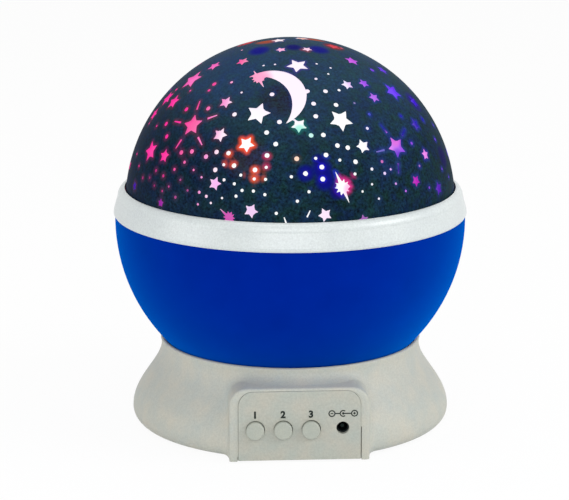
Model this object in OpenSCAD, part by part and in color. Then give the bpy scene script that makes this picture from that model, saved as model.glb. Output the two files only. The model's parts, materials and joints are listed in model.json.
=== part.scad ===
// Star night light: a turning globe with a punched star dome on a flared base.
// All lengths in millimetres. The floor is z = 0, the turning axis is Z and the controls face -Y.

/* [Globe] */
// Outer diameter of the trim ring at its foot, the widest part of the lamp
ring_d = 130; // [124:1:140]
// How far the trim ring stands out over the bowl
ring_overhang = 0.5; // [0.3:0.1:1.5]
// How far the dome's sphere lies inside the trim ring's foot
ring_step = 4.3; // [3.8:0.1:5]
// Height of the trim ring that shows
ring_h = 9.8; // [8:0.2:14]
// How far the trim ring leans in from foot to top
ring_lean = 1.5; // [0.5:0.1:1.8]
// Radius of the trim ring's outer upper edge
bead_r = 3.2; // [1.5:0.1:3.6]
// How far the bowl's flat foot reaches past the ring gear
foot_reach = 1.75; // [1:0.05:3]
// Height of the bowl's rim above its centre
bowl_rim = 2.2; // [1:0.1:4]
// Height of the dome's centre above the bowl's rim
dome_rise = 3.4; // [2:0.1:4.5]
// Wall of the bowl
bowl_t = 1.8; // [1.2:0.1:3]
// Wall of the clear dome
clear_t = 1.5; // [1:0.1:2]
// Wall of the black star dome
mask_t = 0.6; // [0.4:0.1:1]
// Number of ribs inside the bowl
bowl_ribs = 6; // [3:1:12]

/* [Stars] */
// Tip of the largest star windows from their middle, as an angle of the dome
star_a = 4.1; // [3:0.1:4.3]
// Inner radius of a star as a part of its tip radius
star_waist = 0.5; // [0.4:0.01:0.6]
// Half-width of the crescent moon, as an angle of the dome
moon_a = 12.3; // [9:0.1:12.6]
// Half-width of the largest round windows, as an angle of the dome
dot_a = 0.87; // [0.5:0.01:1]
// Width of the rays round a star
ray_w = 0.8; // [0.5:0.1:1]

/* [Base] */
// Largest diameter of the flared base
base_d = 117.6; // [112:1:126]
// Height of the base's rim above the floor
base_h = 32; // [30:0.5:36]
// Height at which the flare is widest
flare_z = 5; // [4:0.5:7]
// How far the flare's lower edge curves in
flare_tuck = 3.3; // [2.6:0.1:5]
// Wall of the base shell
base_t = 2; // [1.6:0.1:2.6]
// Wall of the base's rim
rim_t = 1; // [0.8:0.1:1.4]
// Gap between the bowl and the base's rim
rim_gap = 0.35; // [0.3:0.05:1]
// How far the neck under the rim is drawn in
neck_in = 0.35; // [0.2:0.05:1.2]
// Height of the rubber feet that shows
foot_h = 1.5; // [1.2:0.1:2.5]
// How far the shell's lower edge hangs below the cover
shell_lip = 0.5; // [0.3:0.1:0.8]
// Diameter of a rubber foot
foot_d = 9; // [7:0.5:11]
// Distance of the feet from the axis
foot_r = 45; // [43:0.5:46]
// Distance of the base's screws from the edge of its cover
screw_inset = 6.6; // [6:0.1:7]

/* [Controls] */
// Width of the control block
block_w = 49.8; // [48:0.2:56]
// Height of the control block's top
block_h = 27.2; // [26:0.2:28]
// How far the control block's face lies behind the flare's widest line
block_step = 2.3; // [1:0.1:3.4]
// Radius of the control block's upper corners
block_corner = 6.5; // [4:0.5:8]
// Width of the block's frame on each side of the control panel
block_side = 3.2; // [2.4:0.1:3.4]
// Thickness of the control panel
panel_t = 1.9; // [1.4:0.1:2.4]
// Diameter of a push button
button_d = 6.4; // [5:0.1:7]
// Distance from one push button to the next
button_pitch = 9.9; // [9.4:0.1:10.4]
// Distance of the first push button from the panel's left end
button_inset = 5.9; // [5.2:0.1:6.6]
// Height of the push buttons
button_z = 12.1; // [10.5:0.1:12.3]
// How far a push button stands out of the panel
button_out = 1.8; // [1.4:0.1:2.5]
// Travel of a push button
button_travel = 0.8; // [0.4:0.1:1]
// Distance of the DC socket from the panel's right end
jack_inset = 6.4; // [6:0.1:7]
// Diameter of the DC socket's mouth, for a 3.5 mm plug
jack_d = 3.6; // [3.4:0.1:4]

/* [Power] */
// Diameter of an AAA cell
cell_d = 10.5; // [10:0.1:11]
// Length of an AAA cell
cell_l = 44.5; // [42:0.5:46]
// Number of cells side by side
cell_count = 4; // [3:1:4]
// Diameter of the motor's can
motor_d = 24.4; // [20:0.2:25]
// Height of the motor's can
motor_h = 12.2; // [9:0.2:12.4]
// Distance of the motor from the globe's axis
motor_r = 24; // [23.6:0.1:24.4]

/* [Gears] */
// Tooth module of the fine gears
fine_m = 0.5; // [0.48:0.01:0.52]
// Tooth module of the ring gear and its pinion
coarse_m = 0.8; // [0.78:0.01:0.82]
// Teeth of every pinion
pinion_teeth = 10; // [10:1:11]
// Teeth of the first large gear
gear_1_teeth = 34; // [33:1:35]
// Teeth of the second large gear
gear_2_teeth = 36; // [35:1:37]
// Teeth inside the ring gear
ring_teeth = 84; // [82:1:85]
// Distance of the first gear's pin from the globe's axis
gear_1_r = 22.5; // [22.3:0.1:22.7]
// Face width of the fine gears
gear_face = 1.6; // [1.2:0.1:1.8]
// Diameter of the gear pins
pin_d = 1.6; // [1.4:0.1:2]

/* [Lamp post] */
// Diameter of the post where the globe turns on it
post_d = 16; // [14:0.5:17]
// Bore of the post for the lead wires
post_bore = 11; // [8:0.5:12]
// Length of the bowl's hub on the post
hub_h = 19.5; // [12:0.5:26]
// Diameter of the LED board
board_d = 22.4; // [20:0.2:23.4]
// Diameter of a coloured LED
led_d = 5; // [3:0.5:5]

/* [Hidden] */
$fn = 96;
eps = 0.01;
slip = 0.2;        // gap round a piece that drops into a seat
run = 0.1;         // radial gap of a running fit on the post
pin_run = 0.05;    // radial gap of a gear on its pin

// heights, from the floor up
cover_t = 2;
cover_top = foot_h + cover_t;
cell_gap = 0.5;
cell_z = cover_top + cell_gap + cell_d / 2;
box_t = 1.2;
box_roof = cell_z + cell_d / 2 + cell_gap - 0.1;
deck_t = 2;
deck_z = box_roof + box_t + 0.1;
deck_top = deck_z + deck_t;
level_gap = 0.3;
level_1 = deck_top + 0.4;
level_2 = level_1 + gear_face + level_gap;
level_3 = level_2 + gear_face + level_gap;
ring_gear_h = 3.1;
floor_z = level_3 + ring_gear_h;
floor_t = 1.8;
ring_gear_r = 38;
bowl_foot_r = ring_gear_r + foot_reach;

// globe
bowl_r = ring_d / 2 - ring_overhang;
bowl_z = floor_z + sqrt(pow(bowl_r, 2) - pow(bowl_foot_r, 2));
dome_r = ring_d / 2 - ring_step - 0.04;
rim_z = bowl_z + bowl_rim;
ring_top = rim_z + ring_h;
dome_z = rim_z + dome_rise;
mask_in = dome_r - mask_t;
clear_out = mask_in - 0.05;
clear_in = clear_out - clear_t;
ring_in = dome_r + slip + 0.05;
ledge_w = 4;
ledge_t = 1.8;
seat_z = dome_z + 2.1;
flange_h = 0.9;
skirt_h = 5.4;
skirt_out = bowl_r - bowl_t - slip - 0.15;
hub_wall = 4;
hub_d = post_d + 2 * hub_wall;
rib_t = 1.6;
rib_h = 9;
function bowl_at(z, r = bowl_r) = sqrt(pow(r, 2) - pow(z - bowl_z, 2));

// base
rim_r = bowl_at(base_h) + rim_gap + rim_t;
neck_r = rim_r - neck_in;
neck_z = base_h - 2.4;
flare_r = base_d / 2;
edge_r = flare_r - flare_tuck;
shell_z = foot_h - shell_lip;
cover_r = edge_r - base_t - slip;
block_z = 0.5;
block_y = flare_r - block_step;
block_in = block_w / 2 - base_t;
block_back = 38;
panel_w = block_w - 2 * block_side;
panel_gap = 0.25;
panel_border = 1;
panel_z = block_z + 0.4;
panel_h = block_h - panel_border - panel_z;
panel_proud = 0.3;
panel_back = block_y + panel_proud - panel_t;
ledge_in = 1.4;
boss_a = 45;
boss_r = cover_r - screw_inset;
boss_d = 6;
boss_low = 6;
boss_h = base_h - boss_low - cover_top;
web_t = 2;
screw_d = 2;
head_d = 3.8;
head_h = 1.2;
screw_l = 8;
slot_w = 0.5;
slot_l = 0.58;     // as a part of the head
deck_r = boss_r - boss_d / 2 - 0.7;
pillar_d = 6.4;
pillar_r = deck_r - pillar_d / 2 - 0.7;
pillars = [for (a = [31, 149, 211, 329]) polar(pillar_r, a)];

// battery box
cell_pitch = cell_d + cell_gap;
contact_gap = 3.2;
bay_x = cell_l / 2 + contact_gap;
bay_y = 14;
bay_h = cell_count * cell_pitch / 2;
bay_front = bay_y - bay_h;
bay_rear = bay_y + bay_h;
bay_t = 1.5;
door_gap = 0.4;
tab_x = 12;
tab_w = 8;
tongue_w = 10;
tongue_l = 7.6;
door_screw_y = bay_rear + 4.4;

// controls behind the panel
switch_front = panel_back - 4.1;
switch_h = 4.5;
switch_w = 6;
board_y = switch_front - switch_h;
board_t = 1.6;
board_low = cover_top + 0.8;
board_high = block_h - 6;
stand_d = 4.6;
stand_x = panel_w / 2 - ledge_in - stand_d / 2 - 0.3;
stand_z = board_high - stand_d / 2 - 0.3;
stand_screw = 4;
board_x = stand_x + stand_d / 2 + 1;
deck_front = board_y - board_t - head_h - 1.2;
jack_w = 6.6;
jack_x = panel_w / 2 - jack_inset;
jack_z = button_z + 0.5;
jack_len = panel_back - board_y;
jack_pin_d = 1.3;
stem_d = 3;
stem_in = 1.2;
plunger_l = 3.2;
button_flange = button_d + 1.8;

// gear train
function centres(teeth_a, teeth_b, m) = m * (teeth_a + teeth_b) / 2;
function corner(a, b, c) = acos((a * a + b * b - c * c) / (2 * a * b));
gear_2_r = coarse_m * (ring_teeth - pinion_teeth) / 2;
mesh_1 = centres(pinion_teeth, gear_1_teeth, fine_m);
mesh_2 = centres(pinion_teeth, gear_2_teeth, fine_m);
motor_a = -90;
gear_1_a = motor_a + corner(motor_r, gear_1_r, mesh_1);
gear_2_a = gear_1_a + corner(gear_1_r, gear_2_r, mesh_2);
motor_screw_a = [180, 270];
motor_screw_r = 8;
motor_at = polar(motor_r, motor_a);
gear_1_at = polar(gear_1_r, gear_1_a);
gear_2_at = polar(gear_2_r, gear_2_a);
function heading(from, to) = atan2(to[1] - from[1], to[0] - from[0]);
toward_1 = heading(motor_at, gear_1_at);
toward_2 = heading(gear_1_at, gear_2_at);
addendum = 0.75;
dedendum = 1.1;
tooth_half = 0.19;     // half tooth at the pitch line, as a part of the pitch
shaft_d = 1.5;
gear_hub_d = 3.8;

// lamp post
post_flange_r = 12.6;
post_flange_h = 2;
post_lug_r = 15;
post_lug_d = 5;
post_lugs = [90, 210, 330];
shoulder_d = post_d + 4;
washer_h = 0.8;
washer_z = floor_z - washer_h;
hub_top = floor_z + hub_h;
clip_h = 1;
clip_z = hub_top + 0.3;
clip_deep = 0.7;
plate_t = 1.8;
plate_z = seat_z - ledge_t - plate_t;
socket_h = 4.6;
socket_d = board_d;
upper_d = post_d - 1;
board_z = plate_z + plate_t + 0.6;
board_h = 1.6;
led_r = 7;
lead_r = 3.2;
lead_d = 1.3;
led_screw_x = board_d / 2 - 1.9;
led_h = 6.6;
plate_hole = board_d / 2 + 1.3;
plate_screw_r = ring_in - ledge_w / 2;
small_d = 1.6;
small_head = 2.8;

// ---------- shapes ----------

function polar(r, a) = [r * cos(a), r * sin(a)];

module at(p, z = 0) { translate([p[0], p[1], z]) children(); }

module ring(r_out, r_in, h) {
    difference() {
        cylinder(r = r_out, h = h);
        translate([0, 0, -1]) cylinder(r = r_in, h = h + 2);
    }
}

// a pan-head screw that points up from z = 0, where its head begins
module screw(reach, d = screw_d, head = head_d) {
    difference() {
        union() {
            cylinder(d = head, h = head_h);
            cylinder(d = d, h = head_h + reach);
        }
        for (turn = [0, 90]) rotate(turn)
            translate([-head * slot_l / 2, -slot_w / 2, -head_h])
                cube([head * slot_l, slot_w, 1.5 * head_h]);
    }
}

// the same screw with its head up and its seat at z = 0
module screw_down(reach, d = screw_d, head = head_d) {
    translate([0, 0, head_h]) mirror([0, 0, 1]) screw(reach, d, head);
}

// a plate in the XZ plane with round upper corners, from y = 0 to y = t
module arched(w, h, r, t) {
    rotate([90, 0, 0]) translate([0, 0, -t]) linear_extrude(t) {
        translate([-w / 2, 0]) square([w, h - r]);
        translate([-w / 2 + r, 0]) square([w - 2 * r, h]);
        for (side = [-1, 1]) translate([side * (w / 2 - r), h - r]) circle(r);
    }
}

// a bar along Y that starts at [x, y, z]; the controls are laid out with it
module peg(x, y, z, d, l, d_front = 0) {
    translate([x, y, z]) rotate([-90, 0, 0]) cylinder(d1 = d_front > 0 ? d_front : d, d2 = d, h = l);
}

// straight-flanked teeth round a pitch circle; tip and root are in modules, half in pitches
module toothed(teeth, m, phase, tip, root, half) {
    pitch_r = m * teeth / 2;
    step = 360 / teeth;
    flank = tan(20) / (PI * teeth) * 360;
    polygon([for (i = [0:teeth - 1], side = [-1, 1], end = [0, 1])
        let (outer = side < 0 ? end : 1 - end,
             r = pitch_r + m * (outer == 1 ? tip : -root),
             w = step * half - (outer == 1 ? tip : -root) * flank / 2,
             a = phase + i * step + side * max(w, step * 0.04))
        [r * cos(a), r * sin(a)]]);
}

module gear(teeth, m, phase, h) {
    linear_extrude(h) toothed(teeth, m, phase, addendum, dedendum, tooth_half);
}

// ---------- base ----------

function flare_at(z) = z < flare_z
    ? edge_r + flare_tuck * sqrt(1 - pow((flare_z - z) / (flare_z - shell_z), 2))
    : neck_r + (flare_r - neck_r) * (1 + cos(180 * (z - flare_z) / (neck_z - flare_z))) / 2;
function tuck_z(i) = shell_z + (flare_z - shell_z) * i / tuck_steps;
function flare_up(i, top) = flare_z + (top - flare_z) * i / flare_steps;

tuck_steps = 6;
flare_steps = 22;
outer_line = concat(
    [for (i = [0:tuck_steps - 1]) [flare_at(tuck_z(i)), tuck_z(i)]],
    [for (i = [0:flare_steps]) [flare_at(flare_up(i, neck_z)), flare_up(i, neck_z)]],
    [[rim_r - 0.1, base_h - 1.1], [rim_r, base_h - 0.5], [rim_r - 0.15, base_h]]);
inner_line = concat(
    [[rim_r - rim_t, base_h], [neck_r - base_t * 0.75, neck_z]],
    [for (i = [flare_steps:-2:0]) let (z = flare_up(i, neck_z - 1)) [flare_at(z) - base_t, z]],
    [[edge_r - base_t + 0.6, cover_top - 0.8], [edge_r - base_t, foot_h]]);

module flare_solid() {
    rotate_extrude() polygon(concat([[0, shell_z]], outer_line, [[0, base_h]]));
}

module flare_inside() {
    top = [[0, base_h + 1], [rim_r - rim_t, base_h + 1]];
    foot = [[edge_r - base_t, shell_z - 1], [0, shell_z - 1]];
    rotate_extrude() polygon(concat(top, inner_line, foot));
}

module block_solid(inset) {
    below = inset > 0 ? 1 : 0;
    translate([0, -block_y + inset, block_z - below])
        arched(block_w - 2 * inset, block_h - block_z - inset + below,
            block_corner - inset * 0.6, block_y - block_back);
}

// the sweep from the block's flat top up to the flare
sweep_r = 9;
sweep_lip = 1.7;
sweep_a = 60;
sweep_steps = 8;
module block_sweep(inset) {
    foot = block_y - sweep_lip;
    back = neck_r - 2 * base_t;
    under = block_h - 2 * base_t;
    corner = block_corner + base_h - block_h;
    arc = [for (i = [0:sweep_steps])
        [foot, block_h + sweep_r] + polar(sweep_r + inset, 270 - sweep_a * i / sweep_steps)];
    inner = [[back, arc[sweep_steps][1]], [back, under]];
    intersection() {
        rotate_extrude() polygon(concat([[foot, under]], arc, inner));
        translate([0, -block_y + inset, block_z])
            arched(block_w - 2 * inset, base_h - block_z, corner, block_y - block_back);
    }
}

module boss_places() {
    for (i = [0:3]) rotate(boss_a + 90 * i) translate([boss_r, 0, 0]) children();
}

// the screw bosses, each tied to the wall by a web
module bosses() {
    intersection() {
        boss_places() translate([0, 0, cover_top]) {
            cylinder(d = boss_d, h = boss_h);
            translate([0, -web_t / 2, 0]) cube([flare_r - boss_r, web_t, boss_h]);
        }
        flare_solid();
    }
}

module front_window() {
    wide = panel_w + 2 * panel_gap;
    clear = panel_w - 2 * ledge_in;
    clear_top = board_high + slip;
    clear_corner = 2;
    low = 2;
    translate([0, -block_y - 1, panel_z - panel_gap - low])
        arched(wide, panel_h + 2 * panel_gap + low, block_corner - 1, 1 + block_y - panel_back);
    translate([0, -block_y, panel_z - low])
        arched(clear, clear_top - panel_z + low, clear_corner, 4 * base_t);
}

module base_shell() {
    color("gainsboro") difference() {
        union() {
            difference() {
                union() {
                    difference() {
                        flare_solid();
                        translate([-block_w / 2, -block_y - flare_r, 0])
                            cube([block_w, flare_r, block_h]);
                    }
                    block_solid(0);
                    block_sweep(0);
                }
                flare_inside();
                block_solid(base_t);
                block_sweep(base_t);
                front_window();
            }
            bosses();
        }
        boss_places() translate([0, 0, cover_top - 1]) cylinder(d = screw_d, h = screw_l + 1);
    }
}

foot_places = [for (a = [20, 160, 200, 340]) polar(foot_r, a)];
door_boss_d = 6.4;
door_boss_h = 8.6;
slot_gap = 3;

module base_cover() {
    sides = bay_x + bay_t;
    front = block_in - slip;
    color("whitesmoke") difference() {
        union() {
            translate([0, 0, foot_h]) cylinder(r = cover_r, h = cover_t);
            translate([-front, -block_y + base_t + slip, foot_h])
                cube([2 * front, block_y - block_back, cover_t]);
            for (p = pillars) at(p, foot_h) cylinder(d = pillar_d, h = deck_z - foot_h);
            translate([-sides, bay_front - bay_t, foot_h])
                cube([2 * sides, 2 * (bay_h + bay_t), box_roof + box_t - foot_h]);
            translate([0, door_screw_y, foot_h]) cylinder(d = door_boss_d, h = door_boss_h);
        }
        // cell bay and door opening
        translate([-bay_x, bay_front, foot_h]) cube([2 * bay_x, 2 * bay_h, box_roof - foot_h]);
        translate([-bay_x - door_gap, bay_front - door_gap, foot_h - 1])
            cube([2 * (bay_x + door_gap), 2 * (bay_h + door_gap), cover_t + 1]);
        translate([-tongue_w / 2 - door_gap, bay_rear, foot_h - 1])
            cube([tongue_w + 2 * door_gap, tongue_l + door_gap, cover_t + 1]);
        for (side = [-1, 1])
            translate([side * tab_x - tab_w / 2 - door_gap, bay_front - bay_t - slot_gap, cover_top])
                cube([tab_w + 2 * door_gap, bay_t + slot_gap + 1, tab_l + 1]);
        translate([0, door_screw_y, foot_h]) cylinder(d = screw_d + 0.8, h = door_boss_h - 1.6);
        // feet, pillars and base screws
        for (p = foot_places) at(p, foot_h - 1) cylinder(d = foot_d + slip, h = foot_in + 1);
        for (p = pillars) at(p, deck_z - pillar_screw - 1) cylinder(d = screw_d, h = pillar_screw + 2);
        boss_places() translate([0, 0, foot_h - 1]) {
            cylinder(d = screw_d + 0.4, h = cover_t + 2);
            cylinder(d = head_d + 0.6, h = cover_t + 1 - head_wall);
        }
    }
}

foot_in = 0.6;
module rubber_feet() {
    color("dimgray") for (p = foot_places) at(p) cylinder(d = foot_d, h = foot_h + foot_in);
}

head_wall = 0.8;
module base_screws() {
    color("silver") boss_places() translate([0, 0, cover_top - head_wall - head_h]) screw(screw_l - 1);
}

tab_l = 2.4;
tab_t = 1.1;
grip_w = 18;
grip_step = 1.6;
module battery_door() {
    thick = cover_t - 0.05;
    color("whitesmoke") difference() {
        union() {
            translate([-bay_x, bay_front, foot_h]) cube([2 * bay_x, 2 * bay_h, thick]);
            translate([-tongue_w / 2, bay_rear - 1, foot_h]) cube([tongue_w, tongue_l + 1, thick]);
            for (side = [-1, 1]) translate([side * tab_x - tab_w / 2, bay_front, cover_top - 1])
                cube([tab_w, 1.4, 2 * tab_t]);
            for (side = [-1, 1]) translate([side * tab_x - tab_w / 2, bay_front - tab_l, cover_top + 0.1])
                cube([tab_w, tab_l + 0.6, tab_t]);
        }
        translate([0, door_screw_y, foot_h - 1]) {
            cylinder(d = screw_d + 0.3, h = cover_t + 2);
            cylinder(d = head_d + 0.4, h = 1 + head_h + 0.05);
        }
        for (i = [1:5]) translate([-grip_w / 2, bay_rear - grip_step * i, foot_h - 1])
            cube([grip_w, grip_step / 2, 1.4]);
    }
}

module door_screw() {
    color("silver") translate([0, door_screw_y, foot_h + 0.05]) screw(door_boss_h - 5.2);
}

function cell_y(i) = bay_front + cell_pitch * (i + 0.5);
nub_l = 1.2;
nub_d = 3.8;

module battery_cells() {
    color("goldenrod") for (i = [0:cell_count - 1])
        translate([0, cell_y(i), cell_z]) rotate([0, i % 2 == 0 ? 90 : -90, 0]) {
            translate([0, 0, -cell_l / 2]) cylinder(d = cell_d, h = cell_l - nub_l);
            translate([0, 0, cell_l / 2 - nub_l]) cylinder(d = nub_d, h = nub_l);
        }
}

contact_t = 0.5;
contact_h = 8;
module battery_contacts() {
    far = bay_x - contact_t / 2;
    tab = [contact_t, cell_pitch - 2, contact_h];
    reach = contact_gap - contact_t;
    color("silver") for (i = [0:cell_count - 1]) let (way = i % 2 == 0 ? 1 : -1)
        translate([0, cell_y(i), cell_z]) {
            translate([way * far, 0, 0]) cube(tab, center = true);
            rotate([0, way * 90, 0]) translate([0, 0, cell_l / 2]) cylinder(d = nub_d + 0.2, h = reach);
            translate([-way * far, 0, 0]) cube(tab, center = true);
            rotate([0, -way * 90, 0]) translate([0, 0, cell_l / 2])
                cylinder(d1 = nub_d + 0.7, d2 = contact_h - 0.5, h = reach);
        }
}

// ---------- controls ----------

function button_at(i) = button_inset - panel_w / 2 + button_pitch * (i - 1);
front_y = -block_y - panel_proud;

module control_panel() {
    color("gainsboro") difference() {
        union() {
            translate([0, front_y, panel_z]) arched(panel_w, panel_h, block_corner - 1.2, panel_t);
            for (side = [-1, 1])
                peg(side * stand_x, -panel_back - eps, stand_z, stand_d, panel_back - board_y + eps);
        }
        for (i = [1:3]) peg(button_at(i), front_y - 1, button_z, button_d + 0.5, panel_t + 2);
        peg(jack_x, front_y - 1, jack_z, jack_d + 1, panel_t + 2);
        for (side = [-1, 1])
            peg(side * stand_x, -board_y - stand_screw - 1, stand_z, screw_d, stand_screw + 2);
    }
}

module control_board() {
    color("seagreen") difference() {
        translate([-board_x, -board_y, board_low]) cube([2 * board_x, board_t, board_high - board_low]);
        for (side = [-1, 1]) peg(side * stand_x, -board_y - 1, stand_z, screw_d + 0.3, board_t + 2);
    }
}

module board_screws() {
    color("silver") for (side = [-1, 1])
        translate([side * stand_x, -board_y + board_t + head_h, stand_z])
            rotate([90, 0, 0]) screw(board_t + stand_screw);
}

module switches() {
    deep = plunger_l - stem_in + button_travel + 0.2;
    color("dimgray") for (i = [1:3]) difference() {
        translate([button_at(i) - switch_w / 2, -switch_front, button_z - switch_w / 2])
            cube([switch_w, switch_h, switch_w]);
        peg(button_at(i), -switch_front - 1, button_z, stem_d + 0.4, deep + 1);
    }
}

module plunger(i) {
    color("black") peg(button_at(i), -switch_front - stem_in, button_z, stem_d, plunger_l);
}

edge_t = 0.4;
button_flange_t = 1;
module button(i) {
    x = button_at(i);
    face = front_y - button_out;
    back = button_out + panel_t + 0.05;
    reach = panel_back - switch_front - stem_in - button_flange_t - 0.05;
    color("white") {
        peg(x, face, button_z, button_d, edge_t, button_d - 0.8);
        peg(x, face + edge_t, button_z, button_d, back - edge_t);
        peg(x, face + back, button_z, button_flange, button_flange_t);
        peg(x, face + back + button_flange_t, button_z, stem_d, reach);
    }
}

module button_1() { button(1); }
module button_2() { button(2); }
module button_3() { button(3); }
module plunger_1() { plunger(1); }
module plunger_2() { plunger(2); }
module plunger_3() { plunger(3); }

jack_end = 1.2;
pin_back = 0.9;
module dc_jack() {
    color("black") difference() {
        translate([jack_x - jack_w / 2, -panel_back, jack_z - jack_w / 2])
            cube([jack_w, jack_len, jack_w]);
        peg(jack_x, -panel_back - 1, jack_z, jack_d, 1 + jack_len - jack_end);
    }
}

module jack_pin() {
    reach = jack_len - jack_end - pin_back;
    color("silver") peg(jack_x, -panel_back + pin_back, jack_z, jack_pin_d, reach);
}

// ---------- drive ----------

module deck() {
    color("white") difference() {
        translate([0, 0, deck_z]) cylinder(r = deck_r, h = deck_t);
        translate([-deck_r, -deck_front - deck_r, deck_z - 1]) cube([2 * deck_r, deck_r, deck_t + 2]);
        translate([0, 0, deck_z - 1]) {
            cylinder(d = post_bore, h = deck_t + 2);
            at(motor_at) cylinder(d = motor_nose_d + 0.4, h = deck_t + 2);
            for (p = motor_screws_at) at(p) cylinder(d = screw_d, h = deck_t + 2);
            at(gear_1_at) cylinder(d = pin_d, h = deck_t + 2);
            at(gear_2_at) cylinder(d = pin_d, h = deck_t + 2);
            for (p = pillars) at(p) cylinder(d = screw_d + 0.3, h = deck_t + 2);
            for (p = post_lugs_at) at(p) cylinder(d = screw_d, h = deck_t + 2);
        }
    }
}

pillar_screw = 6;
module deck_screws() {
    color("silver") for (p = pillars) at(p, deck_top) screw_down(pillar_screw);
}

motor_nose_d = 4.6;
motor_screws_at = [for (a = motor_screw_a) motor_at + polar(motor_screw_r, a)];
module motor() {
    color("silver") difference() {
        union() {
            at(motor_at, deck_z - motor_h) cylinder(d = motor_d, h = motor_h);
            at(motor_at, deck_z) cylinder(d = motor_nose_d, h = deck_t / 2);
        }
        at(motor_at, deck_z - shaft_in - 1)
            cylinder(d = shaft_d + 2 * pin_run, h = shaft_in + deck_t + 1);
        for (p = motor_screws_at) at(p, deck_z - 3) cylinder(d = screw_d, h = 4);
    }
}

module motor_screws() {
    color("silver") for (p = motor_screws_at) at(p, deck_top) screw_down(deck_t + 2, head = 3);
}

shaft_in = 5;
module motor_shaft() {
    color("lightgray") at(motor_at, deck_z - shaft_in)
        cylinder(d = shaft_d, h = level_1 + gear_face + 0.2 - deck_z + shaft_in);
}

module motor_pinion() {
    color("goldenrod") at(motor_at, level_1) difference() {
        gear(pinion_teeth, fine_m, toward_1, gear_face);
        translate([0, 0, -1]) cylinder(d = shaft_d, h = gear_face + 2);
    }
}

// half a tooth past the line of centres, so that a tooth meets a gap
function meshed(toward, teeth) = toward + 180 + 180 / teeth;

module gear_1() {
    color("white") at(gear_1_at) difference() {
        union() {
            translate([0, 0, level_1])
                gear(gear_1_teeth, fine_m, meshed(toward_1, gear_1_teeth), gear_face);
            translate([0, 0, level_1 + gear_face - eps])
                gear(pinion_teeth, fine_m, toward_2, gear_face + level_gap + eps);
        }
        translate([0, 0, level_1 - 1]) cylinder(d = pin_d + 2 * pin_run, h = 3 * gear_face + 2);
    }
}

module gear_2() {
    color("white") at(gear_2_at) difference() {
        union() {
            translate([0, 0, deck_top + 0.2]) cylinder(d = gear_hub_d, h = level_2 - deck_top);
            translate([0, 0, level_2])
                gear(gear_2_teeth, fine_m, meshed(toward_2, gear_2_teeth), gear_face);
            translate([0, 0, level_2 + gear_face - eps])
                gear(pinion_teeth, coarse_m, gear_2_a, level_gap + ring_gear_h - 0.3 + eps);
        }
        translate([0, 0, deck_top - 1]) cylinder(d = pin_d + 2 * pin_run, h = floor_z - deck_top + 2);
    }
}

module gear_pins() {
    color("silver") {
        at(gear_1_at, deck_z) cylinder(d = pin_d, h = level_2 + gear_face + 0.1 - deck_z);
        at(gear_2_at, deck_z) cylinder(d = pin_d, h = floor_z - 0.3 - deck_z);
    }
}

// the ring gear's screws stand midway between the bowl's ribs
function rib_a(i) = 35 + 360 / bowl_ribs * i;
ring_screws = [for (i = [0:bowl_ribs - 1]) polar(ring_gear_r - 1.7, rib_a(i + 0.5))];

module ring_gear() {
    color("white") difference() {
        translate([0, 0, level_3]) cylinder(r = ring_gear_r, h = ring_gear_h);
        translate([0, 0, level_3 - 1]) linear_extrude(ring_gear_h + 2)
            toothed(ring_teeth, coarse_m, gear_2_a, dedendum, addendum, 0.5 - tooth_half);
        for (p = ring_screws) at(p, level_3 - 1) cylinder(d = small_d, h = ring_gear_h + 2);
    }
}

module ring_gear_screws() {
    color("silver") for (p = ring_screws) at(p, floor_z + floor_t)
        screw_down(floor_t + ring_gear_h - 0.5, small_d, small_head);
}

// ---------- lamp post ----------

module lamp_post() {
    neck = clip_z + clip_h;
    color("white") difference() {
        union() {
            translate([0, 0, deck_top]) cylinder(r = post_flange_r, h = post_flange_h);
            for (p = post_lugs_at) at(p, deck_top) cylinder(d = post_lug_d, h = post_flange_h);
            translate([0, 0, deck_top]) cylinder(d = shoulder_d, h = washer_z - deck_top);
            translate([0, 0, washer_z - eps]) cylinder(d = post_d, h = neck + clip_deep - washer_z + eps);
            translate([0, 0, neck]) cylinder(d = upper_d, h = board_z - neck);
        }
        translate([0, 0, deck_top - 1]) cylinder(d = post_bore, h = board_z);
        for (p = post_lugs_at) at(p, deck_top - 1) cylinder(d = screw_d + 0.3, h = post_flange_h + 2);
        translate([0, 0, clip_z]) ring(post_d, post_d / 2 - clip_deep, clip_h);
    }
}

post_lugs_at = [for (a = post_lugs) polar(post_lug_r, a)];
module post_screws() {
    color("silver") for (p = post_lugs_at) at(p, deck_top + post_flange_h)
        screw_down(post_flange_h + deck_t - 0.2);
}

module thrust_washer() {
    color("tan") translate([0, 0, washer_z]) ring(hub_d / 2 - 0.8, post_d / 2 + run, washer_h - 0.02);
}

clip_w = 1.8;
clip_mouth = 6.4;
module retaining_ring() {
    color("silver") translate([0, 0, clip_z + 0.05]) difference() {
        ring(post_d / 2 + clip_w, post_d / 2 - clip_deep + 0.02, clip_h - 0.1);
        rotate(90) translate([0, -clip_mouth / 2, -1]) cube([post_d, clip_mouth, clip_h + 2]);
    }
}

led_screw_d = 1.4;
led_screw_l = 2.4;
module lamp_socket() {
    color("white") translate([0, 0, board_z - socket_h]) difference() {
        cylinder(d = socket_d, h = socket_h);
        translate([0, 0, -1]) cylinder(d = upper_d, h = socket_h + 2);
        for (side = [-1, 1]) at([side * led_screw_x, 0], 1) cylinder(d = led_screw_d, h = socket_h);
    }
}

module led_board() {
    color("darkgreen") difference() {
        translate([0, 0, board_z]) cylinder(d = board_d, h = board_h);
        for (side = [-1, 1]) at([side * led_screw_x, 0], board_z - 1)
            cylinder(d = led_screw_d + 0.2, h = board_h + 2);
    }
}

module led_screws() {
    color("silver") for (side = [-1, 1]) at([side * led_screw_x, 0], board_z + board_h)
        screw_down(board_h + led_screw_l, led_screw_d, led_screw_d + 1);
}

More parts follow.
